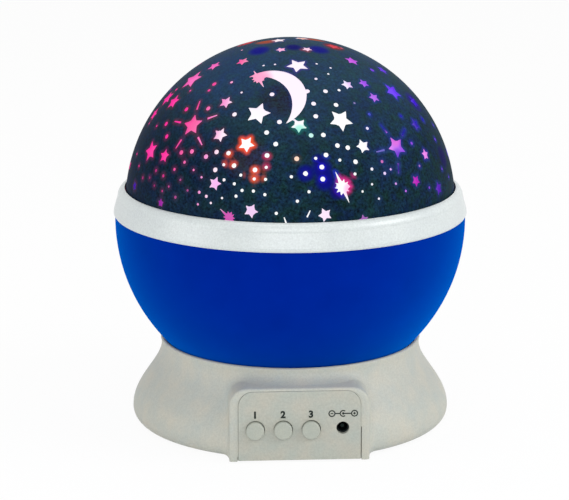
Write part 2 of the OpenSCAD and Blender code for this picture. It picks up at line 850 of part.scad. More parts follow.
// one white light in the middle and three coloured ones round it
module leds() {
    color("white") for (i = [0:3]) at(i == 3 ? [0, 0] : polar(led_r, 90 + 120 * i), board_z + board_h) {
        cylinder(d = led_d + 0.8, h = 1);
        cylinder(d = led_d, h = led_h);
        translate([0, 0, led_h]) sphere(d = led_d);
    }
}

module lamp_leads() {
    color("firebrick") for (i = [0:3]) at(polar(lead_r, 45 + 90 * i), deck_z)
        cylinder(d = lead_d, h = board_z - deck_z);
}

// ---------- globe ----------

module below(z, r) {
    translate([-r - 1, -r - 1, z - 2 * r]) cube([2 * r + 2, 2 * r + 2, 2 * r]);
}

module bowl() {
    color("mediumblue") difference() {
        union() {
            difference() {
                translate([0, 0, bowl_z]) sphere(r = bowl_r);
                difference() {
                    translate([0, 0, bowl_z]) sphere(r = bowl_r - bowl_t);
                    below(floor_z + floor_t, bowl_r);
                }
                translate([-bowl_r, -bowl_r, rim_z]) cube([2 * bowl_r, 2 * bowl_r, bowl_r]);
                below(floor_z, bowl_r);
            }
            translate([0, 0, floor_z]) cylinder(d = hub_d, h = hub_h);
            for (i = [0:bowl_ribs - 1]) rotate(rib_a(i)) intersection() {
                translate([hub_d / 2 - 1, -rib_t / 2, floor_z + 0.5]) cube([bowl_r, rib_t, rib_h]);
                translate([0, 0, bowl_z]) sphere(r = bowl_r - bowl_t / 3);
            }
        }
        translate([0, 0, floor_z - 1]) cylinder(d = post_d + 2 * run, h = hub_h + 2);
        for (p = ring_screws) at(p, floor_z - 1) cylinder(d = small_d + 0.3, h = floor_t + 2);
    }
}

module trim_ring() {
    foot = ring_d / 2;
    top = foot - ring_lean;
    bead_z = ring_top - bead_r;
    color("white") rotate_extrude() {
        polygon([[ring_in, rim_z - skirt_h], [skirt_out, rim_z - skirt_h], [skirt_out, rim_z],
            [foot - 0.3, rim_z], [foot, rim_z + 0.5], [foot - 0.08, rim_z + 1.4], [top, bead_z],
            [ring_in, bead_z]]);
        intersection() {
            translate([top - bead_r, bead_z]) circle(bead_r);
            translate([ring_in, bead_z]) square(2 * bead_r);
        }
        translate([ring_in - ledge_w, seat_z - ledge_t]) square([ledge_w + 1, ledge_t]);
    }
}

plate_screws = [for (i = [0:3]) polar(plate_screw_r, 45 + 90 * i)];
module reflector_plate() {
    color("white") difference() {
        translate([0, 0, plate_z]) cylinder(r = ring_in - 0.4, h = plate_t);
        translate([0, 0, plate_z - 1]) cylinder(r = plate_hole, h = plate_t + 2);
        for (p = plate_screws) at(p, plate_z - 1) cylinder(d = small_d + 0.3, h = plate_t + 2);
    }
}

module reflector_screws() {
    color("silver") for (p = plate_screws) at(p, plate_z - head_h) screw(plate_t, small_d, small_head);
}

module dome_shell(r_out, r_in, low) {
    difference() {
        translate([0, 0, dome_z]) sphere(r = r_out);
        translate([0, 0, dome_z]) sphere(r = r_in);
        below(low, r_out);
    }
}

module clear_dome() {
    color("lavender", 0.6) {
        dome_shell(clear_out, clear_in, seat_z);
        translate([0, 0, seat_z]) ring(dome_r - 0.1, clear_in + 0.4, flange_h);
    }
}

// Windows on the front half of the dome, given as angles: bearing from the front, height above the
// dome's centre, and for a motif its tip from its middle and its turn. The rear half has them again.
stars = [
    [-18, 43, star_a, -11], [19, 40, star_a, 32], [-48, 36, star_a - 0.2, 16], [2.5, 65.5, 3.7, 24],
    [41, 28, 3.7, 19], [-68, 23.5, 3.2, 27], [-76, 52, 3, 20], [-20.5, 31.5, 2.7, -24],
    [0.3, 38.7, 2.6, 32], [-32.5, 34, 2.5, -14], [-16.5, 9.5, 2.35, -25], [60, 47, 2.6, 10],
    [25.5, 30, 2.4, 14], [-36, 46.3, 2.3, -9], [-30.3, 17.5, 2.25, -14], [8.2, 8.3, 2.25, 24],
    [-56.6, 23.5, 2.1, 4], [31, 54, 2.1, 7], [42.4, 47, 2, 4], [55, 65, 2, 30], [-73, 42, 2, 15],
    [-47, 66, 1.8, 0], [43, 53.5, 1.9, 3], [22, 76.5, 1.7, 20], [-17, 76.5, 1.7, 35], [75, 40, 1.8, 0],
    [56, 23, 1.9, -6], [59, 9, 1.7, 12], [46, 15.5, 1.7, 30], [-86, 34, 1.7, 0], [-73, 10, 1.6, 20],
    [75, 56, 1.6, 10], [-53, 8, 1.4, 0], [84, 18, 2.1, 15], [-88, 14, 1.7, 30], [33, 7.4, 1.5, 10]
];
bursts = [[14.6, 17, 5.3, 17], [-23.7, 58, 4.8, 38], [-25, 8, 3.4, 52]];
moon = [-14.4, 50, moon_a, 219];
large_dots = [
    [-65, 34], [-60, 30], [-57, 41], [-51, 53], [-48, 26], [-44, 43], [-43, 27], [-36, 26], [-32, 28],
    [-31, 22], [-29, 42], [-27, 28], [-24, 24], [-16, 23], [-13, 36], [-13, 51], [-12, 28], [-9, 32],
    [-8, 40], [-1, 27], [2, 22], [5, 35], [6, 52.4], [8, 20], [8, 24], [8, 42], [8, 47], [10, 28],
    [10, 35], [15, 31], [16, 52], [19, 30], [19, 46], [21, 25], [68, 34], [63, 58]
];
middle_dots = [
    [-67, 14], [-59, 18], [-54, 17], [-51, 50], [-49, 20], [-46, 11], [-45, 23], [-40, 55], [-36, 14],
    [-33, 13], [-27, 19], [-28, 24], [-23, 18], [-22, 14], [-21, 21], [-20, 16], [-16, 16], [-16, 20],
    [-12, 15], [-12, 20], [-12, 24], [-8, 9], [-3, 21], [-1, 13], [3, 16], [6, 27], [13, 58], [15, 26],
    [20, 21], [24, 52], [27, 22], [30, 36], [32, 20], [32, 24], [34, 41], [50, 28], [52, 38], [70, 26],
    [-81, 43], [-60, 62], [79, 72], [40, 84]
];
small_dots = [
    [-83, 31], [-80, 20], [-73, 17], [-72, 32], [-65, 48], [-62, 15], [-58, 13], [-55, 61], [-53, 12],
    [-50, 14], [-45, 17], [-41, 14], [-40, 21], [-36, 10], [-36, 19], [-31, 11], [-30, 51], [-27, 13],
    [-25, 65], [-16, 66], [19, 66], [22, 15], [23, 60], [26, 17], [28, 63], [28, 12], [29, 46],
    [36, 16], [35, 21], [40, 13], [50, 20], [53, 12], [66, 16], [72, 12], [78, 30], [88, 44], [-72, 72]
];
sparks = [[2.7, 8.8, -26], [-5, 8.4, 20]];
spark_a = 2.6;
rayed = [stars[2], stars[4]];

function arc(a) = dome_r * a * PI / 180;
window_in = mask_t + dome_r * (1 - cos(moon_a + 1)) + 0.5;

module window(w, turn = 0) {
    rotate([0, 0, w[0]]) rotate([90 - w[1], 0, 0])
        translate([0, 0, dome_r - window_in]) linear_extrude(window_in + 2) rotate(turn) children();
}

module star_shape(r) {
    polygon([for (i = [0:9]) polar(i % 2 == 0 ? r : r * star_waist, 90 + 36 * i)]);
}

// ten points, of which two opposite ones are long
module burst_shape(r) {
    polygon([for (i = [0:19]) polar(r * (i % 10 == 0 ? 1 : i % 2 == 0 ? 0.55 : 0.3), 90 + 18 * i)]);
}

module crescent(r, open_a) {
    difference() {
        circle(r);
        translate(polar(0.42 * r, open_a)) circle(0.975 * r);
    }
}

module ray_shape(l) {
    polygon([[-ray_w / 2, -l / 2], [ray_w / 2, -l / 2], [ray_w / 4, l / 2], [-ray_w / 4, l / 2]]);
}

module half_pattern() {
    for (w = stars) window(w, w[3]) star_shape(arc(w[2]));
    for (w = bursts) window(w, w[3]) burst_shape(arc(w[2]));
    for (w = rayed) window(w, w[3]) for (i = [0:4])
        rotate(72 * i) translate([0, 2 * arc(w[2])]) ray_shape(0.9 * arc(w[2]));
    for (w = sparks) window(w, w[2]) ray_shape(arc(spark_a));
    window(moon) crescent(arc(moon[2]), moon[3]);
    for (w = large_dots) window(w) circle(arc(dot_a));
    for (w = middle_dots) window(w) circle(arc(dot_a * 0.72));
    for (w = small_dots) window(w) circle(arc(dot_a * 0.5));
}

module star_dome() {
    color("midnightblue") difference() {
        dome_shell(dome_r, mask_in, seat_z + flange_h);
        translate([0, 0, dome_z]) for (side = [0, 180]) rotate(side) half_pattern();
    }
}

base_shell();
base_cover();
rubber_feet();
battery_door();
door_screw();
battery_cells();
battery_contacts();
control_panel();
control_board();
switches();
dc_jack();
jack_pin();
button_1();
button_2();
button_3();
plunger_1();
plunger_2();
plunger_3();
deck();
motor();
motor_shaft();
motor_pinion();
gear_1();
gear_2();
gear_pins();
lamp_post();
thrust_washer();
retaining_ring();
lamp_socket();
led_board();
leds();
lamp_leads();
bowl();
ring_gear();
trim_ring();
reflector_plate();
clear_dome();
star_dome();
base_screws();
deck_screws();
post_screws();
board_screws();
motor_screws();
led_screws();
ring_gear_screws();
reflector_screws();
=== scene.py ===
import json
import math

import bmesh
import bpy
import numpy as np
from mathutils import Matrix, Vector


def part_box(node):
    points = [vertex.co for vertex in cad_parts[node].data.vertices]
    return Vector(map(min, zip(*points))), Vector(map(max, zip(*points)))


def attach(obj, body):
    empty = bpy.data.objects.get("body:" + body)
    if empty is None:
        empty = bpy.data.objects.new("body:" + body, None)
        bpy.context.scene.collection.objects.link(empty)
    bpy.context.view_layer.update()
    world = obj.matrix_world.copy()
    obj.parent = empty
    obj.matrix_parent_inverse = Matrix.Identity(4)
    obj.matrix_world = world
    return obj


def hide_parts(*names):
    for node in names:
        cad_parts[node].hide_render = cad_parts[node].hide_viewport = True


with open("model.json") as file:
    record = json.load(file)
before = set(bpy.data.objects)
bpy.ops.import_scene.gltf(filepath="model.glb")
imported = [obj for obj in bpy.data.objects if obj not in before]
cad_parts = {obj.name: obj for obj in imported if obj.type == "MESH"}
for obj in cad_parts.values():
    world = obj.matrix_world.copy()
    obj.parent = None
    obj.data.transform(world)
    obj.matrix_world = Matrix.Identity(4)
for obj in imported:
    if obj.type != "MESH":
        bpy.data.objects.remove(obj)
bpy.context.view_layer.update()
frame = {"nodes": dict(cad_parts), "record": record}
MM = 0.001

# ---------------------------------------------------------------- helpers

def linear(hex_colour):
    """A #rrggbb sRGB colour as linear RGBA."""
    channels = [int(hex_colour[i:i + 2], 16) / 255 for i in (1, 3, 5)]
    return [c / 12.92 if c <= 0.04045 else ((c + 0.055) / 1.055) ** 2.4 for c in channels] + [1.0]


def feed(tree, node, sockets):
    """Fills a node's inputs, each with a value, or with a link from an output socket or from a node's
    first output. A list of these gives several links."""
    linked = bpy.types.Node, bpy.types.NodeSocket
    for name, value in sockets.items():
        several = isinstance(value, list) and isinstance(value[0], linked)
        for item in value if several else [value]:
            if isinstance(item, bpy.types.Node):
                item = item.outputs[0]
            if isinstance(item, linked):
                tree.links.new(item, node.inputs[name])
            else:
                node.inputs[name].default_value = item


def add(tree, kind, sockets=None, **settings):
    """Adds a node. Settings are its own properties, and sockets are what its inputs are fed."""
    made = tree.nodes.new(kind)
    for name, value in settings.items():
        setattr(made, name, value)
    feed(tree, made, sockets or {})
    return made


def put(name, data):
    """A new object in the scene, at the origin."""
    made = bpy.data.objects.new(name, data)
    bpy.context.scene.collection.objects.link(made)
    return made


def finished(holder):
    """The plain mesh that an object's curve or modifiers make. The object itself goes."""
    evaluated = holder.evaluated_get(bpy.context.evaluated_depsgraph_get())
    mesh = bpy.data.meshes.new_from_object(evaluated)
    holder.modifiers.clear()
    bpy.data.objects.remove(holder)
    return mesh


def grown(name, tree, base, values):
    """The plain mesh that a Geometry Nodes tree makes of a base mesh, with its named inputs set."""
    holder = put(name, base)
    modifier = holder.modifiers.new(name, "NODES")
    modifier.node_group = tree
    for item in tree.interface.items_tree:
        if item.item_type == "SOCKET" and item.in_out == "INPUT" and item.name in values:
            modifier[item.identifier] = values[item.name]
    return finished(holder)


def place_mesh(name, mesh, body, material, replaced=(), sharp=35):
    """Puts a finished mesh in the scene as a piece of a body, in place of the CAD nodes that are named.
    It is smooth but for the edges that turn more than an angle in degrees."""
    mesh.name = name
    mesh.shade_smooth()
    mesh.set_sharp_from_angle(angle=math.radians(sharp))
    mesh.materials.clear()
    mesh.materials.append(material)
    piece = put(name, mesh)
    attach(piece, body)
    if replaced:
        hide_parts(*replaced)


# ---------------------------------------------------------------- camera

CAMERA_AZIMUTH = math.radians(-3.4)     # the control block stands a little right of the axis
CAMERA_HEIGHT = math.radians(13.2)
CAMERA_DISTANCE = 936 * MM
CAMERA_AIM = Vector((0, 0, 76.4 * MM))
LENS_MM = 160.3
NEAREST_SEEN = 10 * MM
FRAME_WIDTH, FRAME_HEIGHT = 569, 500
AIM_X, AIM_Y = 290.2, 216.1             # where the aim point lies in the frame, in pixels


def make_camera():
    """A long lens, a little above the lamp and to the left of its axis."""
    data = bpy.data.cameras.new("camera")
    data.lens = LENS_MM
    data.shift_x = (FRAME_WIDTH / 2 - AIM_X) / FRAME_WIDTH
    data.shift_y = (AIM_Y - FRAME_HEIGHT / 2) / FRAME_WIDTH
    data.clip_start = NEAREST_SEEN
    camera = put("camera", data)
    back = Vector((
        math.sin(CAMERA_AZIMUTH) * math.cos(CAMERA_HEIGHT),
        -math.cos(CAMERA_AZIMUTH) * math.cos(CAMERA_HEIGHT),
        math.sin(CAMERA_HEIGHT)))
    camera.location = CAMERA_AIM + back * CAMERA_DISTANCE
    camera.rotation_euler = (-back).to_track_quat("-Z", "Y").to_euler()
    bpy.context.scene.camera = camera


# ---------------------------------------------------------------- materials

MIX_A, MIX_B, MIX_RESULT = 6, 7, 2      # a colour Mix node's own sockets
CLOUD_REACH = 0.25                      # half of the noise's values that a soft cloud spans
GRAIN_LOW, GRAIN_HIGH = 0.3, 0.7        # the noise's values between which grain shows as specks
GRAIN_STRENGTH = 0.4                    # of the grain's bump
GLOSSIER, DULLER = 0.06, 0.08           # how far a moulded roughness drifts down and up with its grain
POLISHED, WORN = 0.08, 0.1              # how far a metal's roughness drifts down and up

CELL_SLEEVE_END = 20.6 * MM             # half the length of the sleeve on a battery cell
CELL_BAND = 9.0 * MM                    # where its copper band starts
CELL_WEAR = 0.6 * MM

# Moulded finishes. Each slot has the material's name, its two colours, roughness, specular level, grain
# and its depth in millimetres, and where they show, the size of its clouds in millimetres and its specks.
MOULDED = {
    # satin ABS: off-white with a grey-green cast and a low even sheen
    "base_white": ("satin_abs_base", "#c2bfb1", "#b3b9b2", 0.5, 0.3, 0.6, 0.02, 8.0, 0.07),
    # the same ABS a shade darker, for the upright front
    "panel_white": ("satin_abs_panel", "#b9b6a9", "#acb3ab", 0.5, 0.25, 0.6, 0.02, 8.0, 0.07),
    # the same ABS, smoother and greener than the panel round it
    "button_white": ("satin_abs_buttons", "#b2b5a9", "#a9afa5", 0.45, 0.25, 0.5, 0.01, 5.0, 0.06),
    # polished ABS: colder and brighter, with a soft highlight along the ring
    "ring_white": ("polished_abs_ring", "#cdd4d3", "#c7cecf", 0.32, 0.8, 0.6, 0.01, 10.0, 0.08),
    # polished blue ABS: a deep even blue, to which the bowl adds its bloom
    "bowl_blue": ("polished_blue_abs", "#001e90", "#001a88", 0.34, 0.0, 0.35, 0.006),
    # plain white ABS: bright and even, so that it throws the light up
    "plate_white": ("white_abs_plate", "#dededc", "#d6d6d4", 0.45, 0.3, 0.4, 0.02),
    # natural nylon: milky cream, a little waxy
    "gear_white": ("natural_nylon", "#dcd8ca", "#d4d0c2", 0.45, 0.35, 0.4, 0.01),
    # moulded rubber: near black and dull
    "foot_rubber": ("moulded_rubber_feet", "#232323", "#1b1b1b", 0.85, 0.2, 0.3, 0.03),
    # solder mask: glossy dark green
    "board_green": ("green_solder_mask", "#0f5a2c", "#0c5027", 0.35, 0.5, 0.5, 0.01),
    # black nylon: satin, with a cold cast
    "black_plastic": ("black_nylon", "#0b1518", "#0e171a", 0.5, 0.25, 0.3, 0.01),
    # pad print: flat black ink with a slight sheen
    "label_ink": ("pad_print_ink", "#1c2420", "#232b27", 0.6, 0.2, 0.2, 0.002),
    # cast epoxy: milky white and glossy
    "led_lens": ("led_epoxy", "#f6f4ee", "#f0eee8", 0.12, 0.5, 0.5, 0.002),
    # PVC sleeve of a wire: deep red and smooth
    "lead_red": ("pvc_lead", "#a01812", "#94140f", 0.5, 0.4, 0.4, 0.01),
}
# Metal finishes. Each has its name, colour, roughness and the size of its marks in millimetres.
METALS = {
    # zinc plating: pale grey with a soft shine
    "steel": ("zinc_plated_steel", "#b8babc", 0.34, 0.6),
    # tinned steel darkened with painted shade: the pin lies deep in its socket, where the shade falls
    "pin_steel_painted_shade": ("tinned_pin_painted_shade", "#26302f", 0.6, 0.6),
    # nickel plating: brighter and smoother than the screws
    "motor_steel": ("nickel_plated_can", "#c8c8c6", 0.26, 1.2),
    # turned brass: warm yellow with fine tool marks
    "brass": ("machined_brass", "#c79a4a", 0.28, 0.5),
}
# the jack's pin takes the darkened steel, whose colour holds painted shade
OTHER_FINISHES = {"jack_pin": "pin_steel_painted_shade"}     # nodes with another finish than their slot's


def new_material(name):
    """A material with an empty Principled shader, and the object's own coordinates."""
    material = bpy.data.materials.new(name)
    material.use_nodes = True
    tree = material.node_tree
    tree.nodes.clear()
    shader = add(tree, "ShaderNodeBsdfPrincipled")
    add(tree, "ShaderNodeOutputMaterial", {"Surface": shader})
    place = add(tree, "ShaderNodeTexCoord").outputs["Object"]
    return material, tree, shader, place


def clouded(tree, place, size_mm, first, second, contrast=1.0):
    """A colour that drifts between two others in soft clouds of a size."""
    cloud = add(tree, "ShaderNodeTexNoise",
                {"Vector": place, "Scale": 1 / (size_mm * MM), "Detail": 3.0, "Roughness": 0.55})
    share = add(tree, "ShaderNodeMapRange", {
        "Value": cloud, "From Min": 0.5 - CLOUD_REACH / contrast, "From Max": 0.5 + CLOUD_REACH / contrast})
    return add(tree, "ShaderNodeMix", {"Factor": share, MIX_A: linear(first), MIX_B: linear(second)},
               data_type="RGBA").outputs[MIX_RESULT]


def speckled(tree, colour, grain, darkest, lightest):
    """A colour made darker and lighter by grain, between two shares of itself."""
    speck = add(tree, "ShaderNodeMapRange", {"Value": grain, "From Min": GRAIN_LOW, "From Max": GRAIN_HIGH,
                                             "To Min": darkest, "To Max": lightest})
    return add(tree, "ShaderNodeVectorMath", {0: colour, 1: speck}, operation="MULTIPLY").outputs[0]


def moulded(name, colour, shade, rough, gloss, grain_mm, depth_mm, cloud_mm=14.0, specks=0.0):
    """Injection-moulded plastic: one colour with a faint cloud in it, and the fine grain of the mould.
    A mould's own grain is near 0.1 mm. It is drawn coarser here, so that it shows."""
    material, tree, shader, place = new_material(name)
    base = clouded(tree, place, cloud_mm, colour, shade)
    grain = add(tree, "ShaderNodeTexNoise", {"Vector": place, "Scale": 1 / (grain_mm * MM), "Detail": 2.0})
    feed(tree, shader, {
        "Base Color": speckled(tree, base, grain, 1 - specks, 1 + specks),
        "Roughness": add(tree, "ShaderNodeMapRange",
                         {"Value": grain, "To Min": rough - GLOSSIER, "To Max": rough + DULLER}),
        "Normal": add(tree, "ShaderNodeBump",
                      {"Height": grain, "Distance": depth_mm * MM, "Strength": GRAIN_STRENGTH}),
        "Specular IOR Level": gloss})
    return material


def metal(name, colour, rough, mark_mm):
    """Plated or machined metal with fine uneven polish."""
    material, tree, shader, place = new_material(name)
    wear = add(tree, "ShaderNodeTexNoise", {"Vector": place, "Scale": 1 / (mark_mm * MM), "Detail": 4.0})
    drift = add(tree, "ShaderNodeMapRange",
                {"Value": wear, "To Min": rough - POLISHED, "To Max": rough + WORN})
    feed(tree, shader, {"Base Color": linear(colour), "Metallic": 1.0, "Roughness": drift})
    return material


def add_bloom(material):
    """Makes polished blue ABS a paler blue where it turns away."""
    tree = material.node_tree
    feed(tree, tree.nodes["Principled BSDF"], {
        "Sheen Weight": 0.66, "Sheen Roughness": 0.5, "Sheen Tint": linear("#008cff")})


def dome_aim(tree, place):
    """Direction from the dome's centre, with the back half turned onto the front half."""
    from_centre = add(tree, "ShaderNodeVectorMath", {0: place, 1: DOME_CENTRE}, operation="SUBTRACT")
    aim = add(tree, "ShaderNodeVectorMath", {0: from_centre}, operation="NORMALIZE")
    depth = add(tree, "ShaderNodeSeparateXYZ", {0: aim}).outputs["Y"]
    back = add(tree, "ShaderNodeMath", {0: depth}, operation="SIGN")
    front = add(tree, "ShaderNodeMath", {0: back, 1: -1.0}, operation="MULTIPLY")
    turn = add(tree, "ShaderNodeCombineXYZ", {"X": front, "Y": front, "Z": 1.0})
    return add(tree, "ShaderNodeVectorMath", {0: aim, 1: turn}, operation="MULTIPLY").outputs[0]


def with_spots(tree, aim, colour, spots):
    """A colour with soft round spots of others on it, each with its bearing, height and reach in degrees."""
    for bearing, height, reach, spot in spots:
        middle = dome_frame(bearing, height) @ Vector((0, 0, 1))
        near = add(tree, "ShaderNodeVectorMath", {0: aim, 1: middle}, operation="DOT_PRODUCT")
        share = add(tree, "ShaderNodeMapRange", {
            "Value": near.outputs["Value"], "From Min": math.cos(math.radians(reach)),
            "From Max": math.cos(math.radians(reach * SPOT_CORE))}, interpolation_type="SMOOTHSTEP")
        colour = add(tree, "ShaderNodeMix", {"Factor": share, MIX_A: colour, MIX_B: linear(spot)},
                     data_type="RGBA").outputs[MIX_RESULT]
    return colour


def lamp_light(tree, place):
    """Colour of the light behind each place on the dome: white in front, pink and violet at the sides."""
    flat = add(tree, "ShaderNodeVectorMath", {0: place, 1: (1, 1, 0)}, operation="MULTIPLY")
    level = add(tree, "ShaderNodeVectorMath", {0: flat}, operation="NORMALIZE")
    side = add(tree, "ShaderNodeSeparateXYZ", {0: level}).outputs["X"]
    across = add(tree, "ShaderNodeMapRange", {"Value": side, "From Min": -1.0, "From Max": 1.0})
    ramp = add(tree, "ShaderNodeValToRGB", {"Fac": across})
    stops = ramp.color_ramp.elements
    for bearing, colour in LAMP_COLOURS:
        stops.new((math.sin(math.radians(bearing)) + 1) / 2).color = linear(colour)
    stops.remove(stops[0])
    stops.remove(stops[-1])
    return with_spots(tree, dome_aim(tree, place), ramp.outputs["Color"], WINDOW_SPOTS)


def lit_dome():
    """Frosted polycarbonate: it glows evenly with the light of lamps of several colours inside it."""
    material, tree, shader, place = new_material("frosted_polycarbonate")
    frost = add(tree, "ShaderNodeTexNoise", {"Vector": place, "Scale": 1 / FROST, "Detail": 2.0})
    feed(tree, shader, {
        "Base Color": linear("#2c2c30"),
        "Roughness": add(tree, "ShaderNodeMapRange", {"Value": frost, "To Min": 0.45, "To Max": 0.65}),
        "Specular IOR Level": 0.05,
        "Emission Color": lamp_light(tree, place),
        "Emission Strength": 1.05})
    return material


def film_colour(tree, aim, place, grain):
    """Navy with green and blue clouds in it, a plainer navy on the left, and a coarse print grain."""
    navy = add(tree, "ShaderNodeMix", {
        "Factor": FILM_HUE_SHARE, MIX_A: clouded(tree, place, *FILM_SHADES),
        MIX_B: clouded(tree, place, *FILM_HUES)}, data_type="RGBA").outputs[MIX_RESULT]
    side = add(tree, "ShaderNodeSeparateXYZ", {0: place}).outputs["X"]
    left = add(tree, "ShaderNodeMapRange", {
        "Value": side, "From Min": -LEFT_START * DOME_RADIUS, "From Max": -LEFT_END * DOME_RADIUS,
        "To Max": LEFT_SHARE})
    navy = add(tree, "ShaderNodeMix", {"Factor": left, MIX_A: navy, MIX_B: clouded(tree, place, *FILM_LEFT)},
               data_type="RGBA").outputs[MIX_RESULT]
    navy = speckled(tree, navy, grain, FILM_DARKEST, FILM_LIGHTEST)
    return with_spots(tree, aim, navy, [spot[:3] + (SOAKED_FILM,) for spot in SOAKED_SPOTS])


def film_light(tree, aim, place):
    """Coloured light that creeps out round the windows and soaks through in places, and the full light
    of the lamps on the windows' cut edges."""
    near = add(tree, "ShaderNodeAttribute", attribute_name="window_distance").outputs["Fac"]
    creep = add(tree, "ShaderNodeMapRange", {"Value": near, "From Min": HALO_REACH, "From Max": 0.0},
                interpolation_type="SMOOTHSTEP")
    halo = with_spots(tree, aim, linear(HALO_PLAIN), HALO_SPOTS)
    halo = add(tree, "ShaderNodeVectorMath", {0: halo, 1: creep}, operation="MULTIPLY")
    field = with_spots(tree, aim, linear("#000000"), FIELD_SPOTS + SOAKED_SPOTS)
    light = add(tree, "ShaderNodeVectorMath", {0: field, 1: halo}, operation="MAXIMUM")
    edge = add(tree, "ShaderNodeMath", {0: near, 1: CUT_EDGE}, operation="LESS_THAN")
    return add(tree, "ShaderNodeMix", {"Factor": edge, MIX_A: light, MIX_B: lamp_light(tree, place)},
               data_type="RGBA").outputs[MIX_RESULT]


def dome_film():
    """Printed film on the dome: nearly black and matt, with a dim glow of the lamps in it."""
    material, tree, shader, place = new_material("printed_dark_film")
    aim = dome_aim(tree, place)
    grain = add(tree, "ShaderNodeTexNoise",
                {"Vector": place, "Scale": 1 / FILM_GRAIN, "Detail": 3.0, "Roughness": 0.7}).outputs["Fac"]
    feed(tree, shader, {
        "Base Color": film_colour(tree, aim, place, grain),
        "Roughness": add(tree, "ShaderNodeMapRange", {"Value": grain, "To Min": 0.5, "To Max": 0.8}),
        "Specular IOR Level": 0.03,
        "Emission Color": film_light(tree, aim, place),
        "Emission Strength": 1.0})
    return material


def cell_wrap():
    """Battery cells: bare steel ends, a dark printed sleeve and a copper band at one end of it."""
    material, tree, shader, place = new_material("cell_sleeves")
    along = add(tree, "ShaderNodeSeparateXYZ", {0: place}).outputs["X"]
    side = add(tree, "ShaderNodeMath", {0: along}, operation="ABSOLUTE")
    end = add(tree, "ShaderNodeMath", {0: side, 1: CELL_SLEEVE_END}, operation="GREATER_THAN")
    band = add(tree, "ShaderNodeMath", {0: along, 1: CELL_BAND}, operation="GREATER_THAN")
    sleeve = add(tree, "ShaderNodeMix", {"Factor": band, MIX_A: linear("#232427"), MIX_B: linear("#b5702c")},
                 data_type="RGBA").outputs[MIX_RESULT]
    colour = add(tree, "ShaderNodeMix", {"Factor": end, MIX_A: sleeve, MIX_B: linear("#b9babb")},
                 data_type="RGBA").outputs[MIX_RESULT]
    wear = add(tree, "ShaderNodeTexNoise", {"Vector": place, "Scale": 1 / CELL_WEAR, "Detail": 3.0})
    feed(tree, shader, {
        "Base Color": colour, "Metallic": end,
        "Roughness": add(tree, "ShaderNodeMapRange", {"Value": wear, "To Min": 0.22, "To Max": 0.42})})
    return material


def make_materials():
    """The finish of each material slot, and of the pieces with a finish of their own."""
    made = {slot: moulded(*finish) for slot, finish in MOULDED.items()}
    made.update({slot: metal(*finish) for slot, finish in METALS.items()})
    made.update(dome_black=dome_film(), dome_clear=lit_dome(), cell_sleeve=cell_wrap())
    add_bloom(made["bowl_blue"])
    return made


def paint_cad(materials):
    """Gives each CAD node the finish of its slot in the record."""
    slots = {part["node"]: part["material_slot"] for part in frame["record"]["subparts"]}
    slots.update(OTHER_FINISHES)
    for node, piece in frame["nodes"].items():
        piece.data.materials.clear()
        piece.data.materials.append(materials[slots[node]])


# ---------------------------------------------------------------- studio

LAMP_SIDE = 0.6                         # the studio's sizes are in metres
LAMP_AIM = Vector((0, 0, 0.07))
LAMPS = (
    # name, place, watts
    ("right", (0.9, -0.35, 0.7), 5.4),
    ("left", (-0.95, -0.35, 0.2), 2.1),
    ("front", (-0.1, -0.9, 0.5), 2.8),
    ("top", (0.0, 0.1, 1.1), 2.2))
DAYLIGHT = 0.5
WHITE = (1, 1, 1, 1)
PAPER_WHITE = 0.94                      # share of the floor's look that is plain white paper
FLOOR_HALF = 3.0                        # half the floor's side


def white_in_view(tree):
    """Whether a ray comes from the camera, a reflection or a transmission, and should meet plain white."""
    ray = add(tree, "ShaderNodeLightPath").outputs
    seen = add(tree, "ShaderNodeMath", {0: ray["Is Camera Ray"], 1: ray["Is Glossy Ray"]},
               operation="MAXIMUM")
    return add(tree, "ShaderNodeMath", {0: seen, 1: ray["Is Transmission Ray"]}, operation="MAXIMUM")


def make_world():
    """Soft daylight that is plain white to the camera and in reflections."""
    world = bpy.data.worlds.new("studio")
    world.use_nodes = True
    tree = world.node_tree
    tree.nodes.clear()
    light = add(tree, "ShaderNodeBackground", {"Color": WHITE, "Strength": DAYLIGHT})
    white = add(tree, "ShaderNodeBackground", {"Color": WHITE, "Strength": 1.0})
    mix = add(tree, "ShaderNodeMixShader", {0: white_in_view(tree), 1: light, 2: white})
    add(tree, "ShaderNodeOutputWorld", {"Surface": mix})
    bpy.context.scene.world = world


def make_lamps():
    """Large soft lamps round the object, each aimed at its middle."""
    for name, spot, power in LAMPS:
        lamp = bpy.data.lights.new(name, "AREA")
        lamp.size = LAMP_SIDE
        lamp.energy = power
        holder = put(name, lamp)
        holder.location = spot
        holder.rotation_euler = (LAMP_AIM - Vector(spot)).to_track_quat("-Z", "Y").to_euler()


def make_floor():
    """Matt white paper, plain white to the camera and in reflections, that keeps the shadow."""
    mesh = bpy.data.meshes.new("floor")
    corners = [(x * FLOOR_HALF, y * FLOOR_HALF, 0) for x, y in ((-1, -1), (1, -1), (1, 1), (-1, 1))]
    mesh.from_pydata(corners, [], [(0, 1, 2, 3)])
    floor = put("floor", mesh)
    material, tree, shader, _ = new_material("matt_white_paper")
    feed(tree, shader, {"Base Color": linear("#f8f8f8"), "Roughness": 0.9, "Specular IOR Level": 0.0})
    glow = add(tree, "ShaderNodeEmission", {"Color": WHITE, "Strength": 1.0})
    share = add(tree, "ShaderNodeMath", {0: white_in_view(tree), 1: PAPER_WHITE}, operation="MULTIPLY")
    mix = add(tree, "ShaderNodeMixShader", {0: share, 1: shader, 2: glow})
    feed(tree, tree.nodes["Material Output"], {"Surface": mix})
    mesh.materials.append(material)


# ---------------------------------------------------------------- star dome

